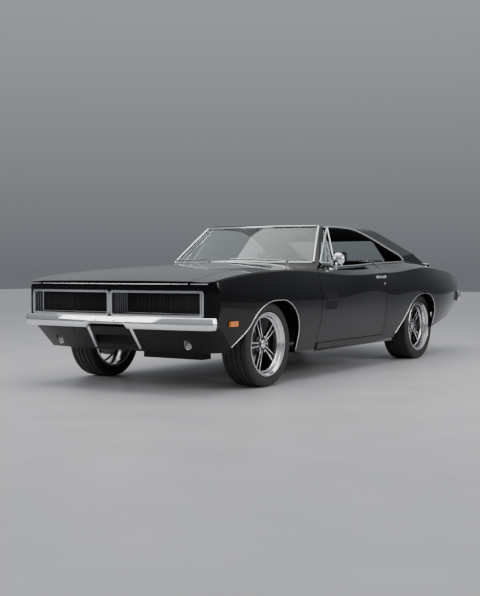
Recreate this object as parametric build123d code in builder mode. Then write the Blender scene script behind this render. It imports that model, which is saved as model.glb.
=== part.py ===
from build123d import *
from collections import namedtuple
from math import atan2, cos, degrees, radians, sin, sqrt
import os

# Late-1960s two-door fastback muscle car, in millimetres.
# +Z is up and the tyres stand on Z = 0.  The nose points to -Y, the driver's (left) side is +X,
# and Y = 0 is halfway between the faces of the two bumpers.
os.makedirs("parts", exist_ok=True)

# ---------------------------------------------------------------- driving dimensions
HALF_LENGTH = 2600.0        # bumper face to the middle of the car
FRONT_AXLE_Y = -1696.0
REAR_AXLE_Y = 1276.0
NOSE_Y = -2560.0            # foremost section of the sheet metal, before the nose is bowed
TAIL_Y = 2560.0             # rear face of the sheet metal
SKIN = 30.0                 # whole depth of a side panel with its inner flange
TOP_SKIN = 28.0             # whole depth of the hood, lid and deck panels
PANEL_GAP = 6.0             # shut line between panels
RUNNING = 0.5               # radial clearance on pins and spindles
SEAT_GAP = 0.3              # clearance where a round piece is seated
BIG = 3000.0                # reach of a cutting solid past the car

# Cross-sections of the body below the glass, nose to tail.  Each is read upwards: the sill edge, the
# widest point of the side, the crease, the upper edge of the shoulder, the belt (inner edge of the
# fender, door or quarter top) and the crown on the centre line.
Station = namedtuple("Station", "y sill_x sill_z wide_x wide_z crease_x crease_z "
                                "upper_x upper_z belt_x belt_z crown_z")
STATIONS = [
    Station(NOSE_Y, 835, 330, 900, 640, 893, 785, 882, 801, 722, 818, 829),
    Station(-2282, 882, 300, 935, 620, 922, 845, 912, 858, 722, 868, 888),
    Station(-1950, 905, 300, 950, 620, 930, 880, 918, 893, 722, 908, 930),
    Station(-1400, 895, 250, 955, 620, 930, 903, 915, 917, 735, 930, 962),
    Station(-944, 885, 245, 950, 600, 926, 888, 908, 914, 790, 925, 982),
    Station(-474, 880, 245, 946, 600, 932, 864, 895, 907, 800, 932, 985),
    Station(300, 880, 245, 948, 600, 938, 880, 872, 917, 800, 964, 990),
    Station(831, 890, 250, 958, 620, 942, 905, 862, 943, 790, 985, 1000),
    Station(REAR_AXLE_Y, 895, 270, 962, 640, 935, 930, 868, 955, 770, 985, 1000),
    Station(1600, 900, 330, 958, 650, 915, 915, 872, 932, 750, 955, 975),
    Station(1950, 880, 400, 925, 650, 890, 882, 850, 898, 720, 915, 935),
    Station(2300, 820, 470, 858, 660, 830, 848, 800, 860, 690, 872, 890),
    Station(TAIL_Y, 750, 500, 785, 660, 768, 828, 742, 841, 650, 850, 868),
]

# Plans of the nose: the middle, where the bow ends, the corner and the cheek.  The upper one holds
# from the bumper up; below it the chin runs back from one plan to the other.
NOSE_PLAN = [(0, -2545), (845, -2498), (893, -2462), (925, -2400)]
CHIN_TOP_Z = 490.0
CHIN_TOP_PLAN = [(0, -2548), (840, -2475), (888, -2432), (930, -2350)]
CHIN_LOW_Z = 200.0
CHIN_LOW_PLAN = [(0, -2369), (743, -2252), (818, -2194), (894, -2084)]

# Doors: a vertical hinge behind the front edge, whose face is round about the hinge.
HINGE_X = 885.0
HINGE_Y = -890.0
DOOR_NOSE_RADIUS = 78.0
DOOR_INNER_X = 800.0
DOOR_REAR_Y = 327.0
DOOR_BOTTOM_Z = 300.0
DOOR_STEP_X = 880.0         # the inner part of the rear edge stands back for the swing
DOOR_STEP = 12.0
DOOR_HINGE_Z = (420.0, 780.0)
DOOR_SCALLOP_Z = ((575, 645), (665, 735))
DOOR_SCALLOP_Y = (-880.0, -560.0)
DOOR_SCALLOP_DEEP_X = 934.0
DOOR_SCALLOP_END_X = 953.0
HINGE_PIN_R = 8.0
HINGE_PIN_REACH = 32.0
PERCH_X = (600.0, 640.0)    # blocks under the rear corners of the hood
BODY_INNER_X = 760.0        # inner face of the rockers
JACK_PAD_X = 830.0          # flat pads for a jack under each rocker
JACK_PAD_Y = (-370.0, 400.0)
JACK_PAD_Z = 236.0

# Panels seen from above
HOOD_HALF_WIDTH = 719.0
HOOD_REAR_Y = -1016.0
COWL_REAR_Y = -700.0
COWL_HALF_WIDTH = 795.0
LID_HALF_WIDTH = 612.0
LID_FRONT_Y = 1646.0
LID_REAR_Y = 2490.0
GLASS_BASE_Y = 1330.0       # foot of the rear window
FENDER_REAR_Y = -948.0

# Greenhouse
ROOF_SKIN = 35.0
ROOF_CROWN_Z = 1348.0
DRIP_X = 612.0
DRIP_Z = 1300.0
ROOF_FOOT_X = 795.0         # side of the roof at the belt
ROOF_FOOT_Z = 950.0
GLASS = 8.0
SCREEN_LOW_Z = 960.0        # windscreen: centre and corner positions at two heights
SCREEN_HIGH_Z = 1320.0
SCREEN_CENTRE_Y = (-960.0, -450.0)
SCREEN_EDGE_Y = (-624.0, -221.0)
SCREEN_EDGE_X = 900.0
TUNNEL_TOP = (900.0, 1262.0)     # (y, z) of the rear window's plane, top and foot
TUNNEL_FOOT = (GLASS_BASE_Y, 985.0)
TUNNEL_HALF_TOP = 555.0
TUNNEL_HALF_FOOT = 625.0

# Wheels and tyres
TRACK_FRONT_X = 774.0       # middle of the tyre
TRACK_REAR_X = 737.0
TYRE_R_FRONT = 332.0
TYRE_R_REAR = 336.0
TYRE_W_FRONT = 245.0
TYRE_W_REAR = 275.0
RIM_R = 252.0               # outer lip of the rim
BARREL_R = 226.0            # inside of the barrel
CAP_RECESS_FRONT = 53.0     # face of the hub behind the lip
CAP_RECESS_REAR = 80.0
SPOKES = 5
HUB_R = 78.0
CAP_R = 34.0
SPINDLE_R = 22.0
KINGPIN_X = 690.0
KINGPIN_R = 14.0
DISC_R = 150.0
DISC_THICK = 22.0

# Underbody
FLOOR_Z = 300.0
FLOOR_THICK = 20.0
REAR_FLOOR_Z = 520.0
TUB_INNER_X = 550.0
RAIL_X = 430.0              # middle of the front frame rails
RAIL_WIDTH = 60.0


def body_loft(skin, top_skin, drop):
    """The body below the glass, or its inside when skins are taken off and the floor is dropped."""
    with BuildPart() as body:
        for s in STATIONS:
            sill = (s.sill_x - skin, s.sill_z)
            wide = (s.wide_x - skin, s.wide_z)
            crease = (s.crease_x - skin, s.crease_z - top_skin)
            upper = (s.upper_x - skin, s.upper_z - top_skin)
            belt = (s.belt_x - skin, s.belt_z - top_skin)
            with BuildSketch(Plane.XZ.offset(-s.y)):
                with BuildLine():
                    Line((-sill[0], sill[1] - drop), (sill[0], sill[1] - drop))
                    for side in (1, -1):
                        if drop:
                            Line((side * sill[0], sill[1] - drop), (side * sill[0], sill[1]))
                        ThreePointArc((side * sill[0], sill[1]), (side * wide[0], wide[1]),
                                      (side * crease[0], crease[1]))
                        Line((side * crease[0], crease[1]), (side * upper[0], upper[1]))
                        Line((side * upper[0], upper[1]), (side * belt[0], belt[1]))
                    ThreePointArc(belt, (0, s.crown_z - top_skin), (-belt[0], belt[1]))
                make_face()
        loft()
    return body.part


def box(x, y, z):
    """A block between two x, two y and two z values."""
    with BuildPart() as block:
        with BuildSketch(Plane.XY.offset(z[0])):
            with Locations(((x[0] + x[1]) / 2, (y[0] + y[1]) / 2)):
                Rectangle(x[1] - x[0], y[1] - y[0])
        extrude(amount=z[1] - z[0])
    return block.part


def prism_side(points, x):
    """A solid with a side-view outline of (y, z) points, between two x values."""
    with BuildPart() as prism:
        with BuildSketch(Plane.YZ.offset(x[0])):
            with BuildLine():
                Polyline(*points, close=True)
            make_face()
        extrude(amount=x[1] - x[0])
    return prism.part


def prism_plan(points, z):
    """A solid with a plan outline of (x, y) points, between two z values."""
    with BuildPart() as prism:
        with BuildSketch(Plane.XY.offset(z[0])):
            with BuildLine():
                Polyline(*points, close=True)
            make_face()
        extrude(amount=z[1] - z[0])
    return prism.part


def nose_face(plan, z, back):
    """The plan of everything behind a bowed nose at one height, set back by a distance."""
    middle, shoulder, corner, cheek = [(x, y + back) for x, y in plan]
    with BuildSketch(Plane.XY.offset(z)) as face:
        with BuildLine():
            ThreePointArc((-shoulder[0], shoulder[1]), middle, shoulder)
            for side in (1, -1):
                ThreePointArc((side * shoulder[0], shoulder[1]), (side * corner[0], corner[1]),
                              (side * cheek[0], cheek[1]))
                Line((side * cheek[0], cheek[1]), (side * BIG, cheek[1]))
                Line((side * BIG, cheek[1]), (side * BIG, BIG))
            Line((-BIG, BIG), (BIG, BIG))
        make_face()
    return face.sketch


def nose_block(back):
    """Everything behind the nose above the chin, set back by a distance."""
    with BuildPart() as block:
        extrude(nose_face(NOSE_PLAN, CHIN_TOP_Z, back), amount=BIG)
    return block.part


def chin_block(back):
    """Everything behind the chin, which runs back towards its foot, set back by a distance."""
    with BuildPart() as block:
        loft([nose_face(CHIN_LOW_PLAN, CHIN_LOW_Z, back), nose_face(CHIN_TOP_PLAN, CHIN_TOP_Z, back)],
             ruled=True)
    return block.part


def rod(start, end, radius):
    """A straight round bar between two points."""
    reach = Vector(*end) - Vector(*start)
    with BuildPart() as bar:
        with BuildSketch(Plane(origin=start, z_dir=reach)):
            Circle(radius)
        extrude(amount=reach.length)
    return bar.part


def save(name, solid):
    """Label a finished piece and write it as its own file."""
    solid.label = name
    export_step(solid, "parts/" + name + ".step")


def save_pair(name, left_solid):
    """Write a left-hand piece and its mirror image."""
    with BuildPart() as right:
        add(mirror(left_solid, about=Plane.YZ))
    save(name + "_left", left_solid)
    save(name + "_right", right.part)


with BuildPart() as outer_build:
    add(nose_block(0))
    add(chin_block(0))
    add(body_loft(0, 0, 0), mode=Mode.INTERSECT)
OUTER = outer_build.part
INNER = body_loft(SKIN, TOP_SKIN, 300)
with BuildPart() as shell_build:
    add(OUTER)
    add(INNER, mode=Mode.SUBTRACT)
SHELL = shell_build.part


# ---------------------------------------------------------------- wheel arches
def arch(points, top, low_z):
    """Cut through the side panels: straight flares at the foot and one arc over the tyre."""
    with BuildPart() as cut:
        with BuildSketch(Plane.YZ.offset(BODY_INNER_X - 140)):
            with BuildLine():
                Line(points[0], points[1])
                ThreePointArc(points[1], points[2], top)
                ThreePointArc(top, points[3], points[4])
                Polyline(points[4], (points[4][0], low_z), (points[0][0], low_z), points[0])
            make_face()
        extrude(amount=BIG)
    return cut.part


FRONT_ARCH = arch([(FRONT_AXLE_Y - 540, 340), (FRONT_AXLE_Y - 350, 470),
                   (FRONT_AXLE_Y - 210, 610), (FRONT_AXLE_Y + 300, 600),
                   (FRONT_AXLE_Y + 392, 420)], (FRONT_AXLE_Y + 50, 670), 200)
REAR_ARCH = arch([(REAR_AXLE_Y - 660, 290), (REAR_AXLE_Y - 470, 480),
                  (REAR_AXLE_Y - 330, 610), (REAR_AXLE_Y + 165, 590),
                  (REAR_AXLE_Y + 225, 420)], (REAR_AXLE_Y - 60, 664), 200)
REAR_TYRE_ROOM_X = 884.0    # the tyre turns inside the skin up to here

def lid_perch(x, root_y, y, low_z):
    """A hinge block: its root joins the fixed panel, and a lid rests a hair above its free part."""
    with BuildPart() as perch:
        add(box(x, y, (low_z, BIG)))
        add(Pos(0, 0, -SEAT_GAP) * INNER, mode=Mode.INTERSECT)
        with BuildPart(mode=Mode.PRIVATE) as root:
            add(box(x, root_y, (low_z, BIG)))
            add(OUTER, mode=Mode.INTERSECT)
        add(root.part)
    return perch.part


# ---------------------------------------------------------------- fenders
with BuildPart() as fender:
    add(SHELL)
    add(prism_plan([(HOOD_HALF_WIDTH + PANEL_GAP, NOSE_Y),
                    (HOOD_HALF_WIDTH + PANEL_GAP, FENDER_REAR_Y),
                    (900, FENDER_REAR_Y), (900, FENDER_REAR_Y + 23),
                    (BIG, FENDER_REAR_Y + 23), (BIG, NOSE_Y)], (0, BIG)), mode=Mode.INTERSECT)
    add(FRONT_ARCH, mode=Mode.SUBTRACT)
    with Locations((HINGE_X, HINGE_Y, 0)):
        Cylinder(DOOR_NOSE_RADIUS + PANEL_GAP, BIG, mode=Mode.SUBTRACT)
save_pair("fender", fender.part)

# ---------------------------------------------------------------- hood, hinged at its rear edge
with BuildPart() as hood:
    add(SHELL)
    add(box((-HOOD_HALF_WIDTH, HOOD_HALF_WIDTH), (NOSE_Y, HOOD_REAR_Y), (700, BIG)),
        mode=Mode.INTERSECT)
save("hood", hood.part)

# ---------------------------------------------------------------- doors
with BuildPart() as door:
    add(box((DOOR_INNER_X, BIG), (HINGE_Y, DOOR_REAR_Y), (DOOR_BOTTOM_Z, 1200)))
    with Locations((HINGE_X, HINGE_Y, DOOR_BOTTOM_Z)):
        Cylinder(DOOR_NOSE_RADIUS, 1200 - DOOR_BOTTOM_Z,
                 align=(Align.CENTER, Align.CENTER, Align.MIN))
    add(OUTER, mode=Mode.INTERSECT)
    add(box((DOOR_INNER_X, DOOR_STEP_X), (DOOR_REAR_Y - DOOR_STEP, DOOR_REAR_Y), (0, BIG)),
        mode=Mode.SUBTRACT)
    for scallop_z in DOOR_SCALLOP_Z:
        add(prism_plan([(DOOR_SCALLOP_DEEP_X, DOOR_SCALLOP_Y[0]), (DOOR_SCALLOP_END_X, DOOR_SCALLOP_Y[1]),
                        (DOOR_SCALLOP_END_X + 40, DOOR_SCALLOP_Y[1]),
                        (DOOR_SCALLOP_END_X + 40, DOOR_SCALLOP_Y[0])], scallop_z), mode=Mode.SUBTRACT)
    for hinge_z in DOOR_HINGE_Z:
        add(box((DOOR_INNER_X - 10, HINGE_X + 14), (HINGE_Y - DOOR_NOSE_RADIUS - 1, HINGE_Y + 18),
                (hinge_z - 16, hinge_z + 16)), mode=Mode.SUBTRACT)
        add(rod((HINGE_X, HINGE_Y, hinge_z - HINGE_PIN_REACH - 2),
                (HINGE_X, HINGE_Y, hinge_z + HINGE_PIN_REACH + 2), HINGE_PIN_R + RUNNING),
            mode=Mode.SUBTRACT)
save_pair("door", door.part)

# ---------------------------------------------------------------- quarter panels with the rockers
with BuildPart() as quarter:
    add(SHELL)
    add(prism_plan([(BODY_INNER_X + 10, DOOR_REAR_Y + PANEL_GAP), (BODY_INNER_X + 10, 1100),
                    (700, 1100), (700, GLASS_BASE_Y), (LID_HALF_WIDTH + PANEL_GAP, GLASS_BASE_Y),
                    (LID_HALF_WIDTH + PANEL_GAP, TAIL_Y), (BIG, TAIL_Y),
                    (BIG, DOOR_REAR_Y + PANEL_GAP)], (0, BIG)), mode=Mode.INTERSECT)
    with BuildPart(mode=Mode.PRIVATE) as rocker:
        add(box((BODY_INNER_X, BIG), (HINGE_Y - 40, REAR_AXLE_Y - 500),
                (200, DOOR_BOTTOM_Z - PANEL_GAP)))
        add(box((BODY_INNER_X, BIG), (DOOR_REAR_Y + PANEL_GAP, DOOR_REAR_Y + 46), (200, 900)))
        add(OUTER, mode=Mode.INTERSECT)
    add(rocker.part)
    for pad_y in JACK_PAD_Y:
        add(box((JACK_PAD_X - 30, JACK_PAD_X + 30), (pad_y - 50, pad_y + 50), (JACK_PAD_Z, 262)))
    add(REAR_ARCH, mode=Mode.SUBTRACT)
    add(rod((BODY_INNER_X - 100, REAR_AXLE_Y, TYRE_R_REAR), (REAR_TYRE_ROOM_X, REAR_AXLE_Y, TYRE_R_REAR),
            TYRE_R_REAR + 16), mode=Mode.SUBTRACT)
QUARTER = quarter.part

# ---------------------------------------------------------------- greenhouse
def screen_solid(shift):
    """Everything behind the curved windscreen surface."""
    with BuildPart() as solid:
        for z in (850.0, 1420.0):
            part_way = (z - SCREEN_LOW_Z) / (SCREEN_HIGH_Z - SCREEN_LOW_Z)
            centre = SCREEN_CENTRE_Y[0] + part_way * (SCREEN_CENTRE_Y[1] - SCREEN_CENTRE_Y[0]) + shift
            edge = SCREEN_EDGE_Y[0] + part_way * (SCREEN_EDGE_Y[1] - SCREEN_EDGE_Y[0]) + shift
            with BuildSketch(Plane.XY.offset(z)):
                with BuildLine():
                    ThreePointArc((-SCREEN_EDGE_X, edge), (0, centre), (SCREEN_EDGE_X, edge))
                    Polyline((SCREEN_EDGE_X, edge), (SCREEN_EDGE_X, TAIL_Y),
                             (-SCREEN_EDGE_X, TAIL_Y), (-SCREEN_EDGE_X, edge))
                make_face()
        loft(ruled=True)
    return solid.part


def greenhouse(inset, foot_z, rear_line):
    """The roof form: side outline, front outline and windscreen curve in common."""
    with BuildPart() as form:
        with BuildSketch(Plane.YZ):
            with BuildLine():
                Polyline((-1200, foot_z), (-1200, 1300), (-470, 1318 - inset))
                ThreePointArc((-470, 1318 - inset), (0, 1344 - inset), (345, 1341 - inset))
                ThreePointArc((345, 1341 - inset), (600, 1316 - inset), (830, 1264 - inset))
                Polyline((830, 1264 - inset), *rear_line, (rear_line[-1][0], foot_z),
                         (-1200, foot_z))
            make_face()
        extrude(amount=900, both=True)
        with BuildSketch(Plane.XZ):
            with BuildLine():
                slope = (ROOF_FOOT_X - DRIP_X) / (DRIP_Z - ROOF_FOOT_Z)
                low = (ROOF_FOOT_X + slope * (ROOF_FOOT_Z - foot_z) - inset, foot_z)
                eave = (DRIP_X + slope * 30 - inset, DRIP_Z - 30)
                rim = (DRIP_X - 67 - inset, DRIP_Z + 22 - inset)
                Line((-low[0], low[1]), low)
                for side in (1, -1):
                    Line((side * low[0], low[1]), (side * eave[0], eave[1]))
                    ThreePointArc((side * eave[0], eave[1]),
                                  (side * (DRIP_X - 12 - inset), DRIP_Z + 3 - inset * 0.6),
                                  (side * rim[0], rim[1]))
                ThreePointArc(rim, (0, ROOF_CROWN_Z - inset), (-rim[0], rim[1]))
            make_face()
        extrude(amount=BIG, both=True, mode=Mode.INTERSECT)
        add(screen_solid(inset * 1.6), mode=Mode.INTERSECT)
        half_plan = [(ROOF_FOOT_X - 3, -1300), (ROOF_FOOT_X - 4, 640), (745, 1138), (722, 1584), (700, 1950)]
        add(prism_plan([(x - inset, y) for x, y in half_plan]
                       + [(inset - x, y) for x, y in reversed(half_plan)], (700, 1500)),
            mode=Mode.INTERSECT)
    return form.part


window_drop = TUNNEL_FOOT[1] - TUNNEL_TOP[1]
window_run = TUNNEL_FOOT[0] - TUNNEL_TOP[0]
window_length = sqrt(window_run ** 2 + window_drop ** 2)
window_normal = (0, -window_drop / window_length, window_run / window_length)
REAR_GLASS_PLANE = Plane(origin=(0, (TUNNEL_TOP[0] + TUNNEL_FOOT[0]) / 2,
                                 (TUNNEL_TOP[1] + TUNNEL_FOOT[1]) / 2),
                         x_dir=(1, 0, 0), z_dir=window_normal)
REAR_GLASS_HALF = 505.0
REAR_GLASS_LENGTH = 400.0
SCREEN_LIMITS = [(-737, 972), (737, 972), (592, 1304), (-592, 1304)]
SIDE_OPENING = [(-700, 880), (-700, 962), (-318, 1288), (0, 1298), (273, 1286), (557, 1212),
                (814, 1120), (1125, 1016), (1100, 880)]

with BuildPart() as tunnel:
    add(prism_plan([(-TUNNEL_HALF_TOP, TUNNEL_TOP[0] - 40), (TUNNEL_HALF_TOP, TUNNEL_TOP[0] - 40),
                    (TUNNEL_HALF_FOOT, LID_FRONT_Y), (TUNNEL_HALF_FOOT, TAIL_Y),
                    (-TUNNEL_HALF_FOOT, TAIL_Y), (-TUNNEL_HALF_FOOT, LID_FRONT_Y)], (850, 1500)))
    tunnel_lift = (TUNNEL_TOP[0] - 60, TUNNEL_TOP[1] - 60 * window_drop / window_run)
    add(prism_side([tunnel_lift, (GLASS_BASE_Y + 60, TUNNEL_FOOT[1] + 60 * window_drop / window_run),
                    (TAIL_Y, 850), (TAIL_Y, 1500), (tunnel_lift[0], 1500)], (-900, 900)),
        mode=Mode.INTERSECT)

with BuildPart() as roof:
    add(greenhouse(0, 860, [(1588, 1022), (1740, 980), (1900, 950)]))
    add(tunnel.part, mode=Mode.SUBTRACT)
    with BuildPart(mode=Mode.PRIVATE) as cabin_air:
        add(greenhouse(ROOF_SKIN, 800, [(1588, 1000), (1700, 900)]))
        back = (-window_drop / window_length * 40, window_run / window_length * 40)
        add(prism_side([(TUNNEL_TOP[0] - 100 - back[0], TUNNEL_TOP[1] - 100 * window_drop / window_run - back[1]),
                        (1700, TUNNEL_TOP[1] + (1700 - TUNNEL_TOP[0] + back[0]) * window_drop / window_run
                         - back[1]), (1700, 1500), (TUNNEL_TOP[0] - 100 - back[0], 1500)], (-900, 900)),
            mode=Mode.SUBTRACT)
    add(cabin_air.part, mode=Mode.SUBTRACT)
    add(prism_side(SIDE_OPENING, (-900, 900)), mode=Mode.SUBTRACT)
    with BuildSketch(Plane.XZ.offset(1200)):
        with BuildLine():
            Polyline(*SCREEN_LIMITS, close=True)
        make_face()
    extrude(amount=-1100, mode=Mode.SUBTRACT)
    with BuildSketch(REAR_GLASS_PLANE):
        RectangleRounded(2 * REAR_GLASS_HALF, REAR_GLASS_LENGTH, 40)
    extrude(amount=70, both=True, mode=Mode.SUBTRACT)
    add(OUTER, mode=Mode.SUBTRACT)
save("roof", roof.part)

with BuildPart() as windshield:
    add(screen_solid(GLASS))
    add(screen_solid(GLASS * 2), mode=Mode.SUBTRACT)
    with BuildSketch(Plane.XZ.offset(1200)):
        with BuildLine():
            Polyline(*SCREEN_LIMITS, close=True)
        make_face()
    extrude(amount=-1100, mode=Mode.INTERSECT)
    add(OUTER, mode=Mode.SUBTRACT)
save("windshield", windshield.part)

with BuildPart() as rear_window:
    with BuildSketch(REAR_GLASS_PLANE.offset(-20)):
        RectangleRounded(2 * REAR_GLASS_HALF, REAR_GLASS_LENGTH, 40)
    extrude(amount=GLASS)
    add(OUTER, mode=Mode.SUBTRACT)
save("rear_window", rear_window.part)

# ---------------------------------------------------------------- fuel filler on the left quarter
FILLER = (800.0, 1584.0)            # (x, y) on the top of the quarter
FILLER_R = 42.0
FILLER_NECK_R = 26.0
FILLER_Z = 960.0                    # seat of the flip lid
CAP_THICK = 12.0
with BuildPart() as filler_ring:
    with BuildSketch(Plane.XY.offset(FILLER_Z - 40)):
        with Locations(FILLER):
            Circle(FILLER_R)
    extrude(amount=40)
with BuildPart() as quarter_left:
    add(QUARTER)
    add(filler_ring.part)
    with BuildSketch(Plane.XY.offset(FILLER_Z + 1)):
        with Locations(FILLER):
            Circle(FILLER_NECK_R)
    extrude(amount=-90, mode=Mode.SUBTRACT)
save("quarter_left", quarter_left.part)
with BuildPart() as quarter_right:
    add(mirror(QUARTER, about=Plane.YZ))
save("quarter_right", quarter_right.part)

with BuildPart() as fuel_cap:
    with BuildSketch(Plane.XY.offset(FILLER_Z + SEAT_GAP)):
        with Locations(FILLER):
            Circle(FILLER_R)
    extrude(amount=CAP_THICK)
    fillet(fuel_cap.faces().sort_by(Axis.Z)[-1].edges(), 4)
save("fuel_cap", fuel_cap.part)

# ---------------------------------------------------------------- rear deck, lid and tail
with BuildPart() as deck_panel:
    add(SHELL)
    add(box((-LID_HALF_WIDTH - PANEL_GAP, LID_HALF_WIDTH + PANEL_GAP),
            (GLASS_BASE_Y - 60, LID_FRONT_Y - PANEL_GAP), (700, BIG)), mode=Mode.INTERSECT)
    for side in (1, -1):
        perch_x = sorted((side * 500, side * 540))
        add(lid_perch(perch_x, (LID_FRONT_Y - 40, LID_FRONT_Y - PANEL_GAP),
                      (LID_FRONT_Y - 40, LID_FRONT_Y + 60), 870))
save("deck_panel", deck_panel.part)

with BuildPart() as trunk_lid:
    add(SHELL)
    add(box((-LID_HALF_WIDTH, LID_HALF_WIDTH), (LID_FRONT_Y, LID_REAR_Y), (700, BIG)),
        mode=Mode.INTERSECT)
save("trunk_lid", trunk_lid.part)

TAIL_THICK = 30.0
TAIL_LAMP_X = (190.0, 690.0)
TAIL_LAMP_Z = (695.0, 790.0)
TAIL_LAMP_DEPTH = 18.0
with BuildPart() as tail_panel:
    add(INNER)
    add(box((-900, 900), (TAIL_Y - TAIL_THICK, TAIL_Y), (470, 900)), mode=Mode.INTERSECT)
    with BuildPart(mode=Mode.PRIVATE) as tail_header:
        add(SHELL)
        add(box((-LID_HALF_WIDTH - PANEL_GAP, LID_HALF_WIDTH + PANEL_GAP),
                (LID_REAR_Y + PANEL_GAP, TAIL_Y), (700, BIG)), mode=Mode.INTERSECT)
    add(tail_header.part)
    for side in (1, -1):
        lamp_x = sorted((side * TAIL_LAMP_X[0], side * TAIL_LAMP_X[1]))
        add(box(lamp_x, (TAIL_Y - TAIL_LAMP_DEPTH, TAIL_Y), TAIL_LAMP_Z), mode=Mode.SUBTRACT)
save("tail_panel", tail_panel.part)

with BuildPart() as tail_lamps:
    for side in (1, -1):
        lamp_x = sorted((side * TAIL_LAMP_X[0], side * TAIL_LAMP_X[1]))
        add(box(lamp_x, (TAIL_Y - TAIL_LAMP_DEPTH, TAIL_Y + 6), TAIL_LAMP_Z))
save("tail_lamps", tail_lamps.part)

# ---------------------------------------------------------------- cowl with the hinge pillars
with BuildPart() as cowl:
    add(SHELL)
    add(prism_plan([(-HOOD_HALF_WIDTH - 3, HOOD_REAR_Y + PANEL_GAP),
                    (HOOD_HALF_WIDTH + 3, HOOD_REAR_Y + PANEL_GAP),
                    (HOOD_HALF_WIDTH + 3, FENDER_REAR_Y), (COWL_HALF_WIDTH, FENDER_REAR_Y),
                    (COWL_HALF_WIDTH, COWL_REAR_Y), (-COWL_HALF_WIDTH, COWL_REAR_Y),
                    (-COWL_HALF_WIDTH, FENDER_REAR_Y), (-HOOD_HALF_WIDTH - 3, FENDER_REAR_Y)],
                   (700, BIG)), mode=Mode.INTERSECT)
    with BuildPart(mode=Mode.PRIVATE) as hinge_pillars:
        for side in (1, -1):
            pillar_x = sorted((side * (COWL_HALF_WIDTH - 60), side * COWL_HALF_WIDTH))
            add(box(pillar_x, (FENDER_REAR_Y, HINGE_Y + 40), (DOOR_BOTTOM_Z - PANEL_GAP, 950)))
        add(OUTER, mode=Mode.INTERSECT)
    add(hinge_pillars.part)
    for side in (1, -1):
        for hinge_z in DOOR_HINGE_Z:
            arm_x = sorted((side * (COWL_HALF_WIDTH - 1), side * (HINGE_X + HINGE_PIN_R)))
            add(box(arm_x, (HINGE_Y - 10, HINGE_Y + 10), (hinge_z - 10, hinge_z + 10)))
            add(rod((side * HINGE_X, HINGE_Y, hinge_z - HINGE_PIN_REACH),
                    (side * HINGE_X, HINGE_Y, hinge_z + HINGE_PIN_REACH), HINGE_PIN_R))
        perch_x = sorted((side * PERCH_X[0], side * PERCH_X[1]))
        add(lid_perch(perch_x, (HOOD_REAR_Y + PANEL_GAP, HOOD_REAR_Y + 36),
                      (HOOD_REAR_Y - 60, HOOD_REAR_Y + 36), 880))
save("cowl", cowl.part)

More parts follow.
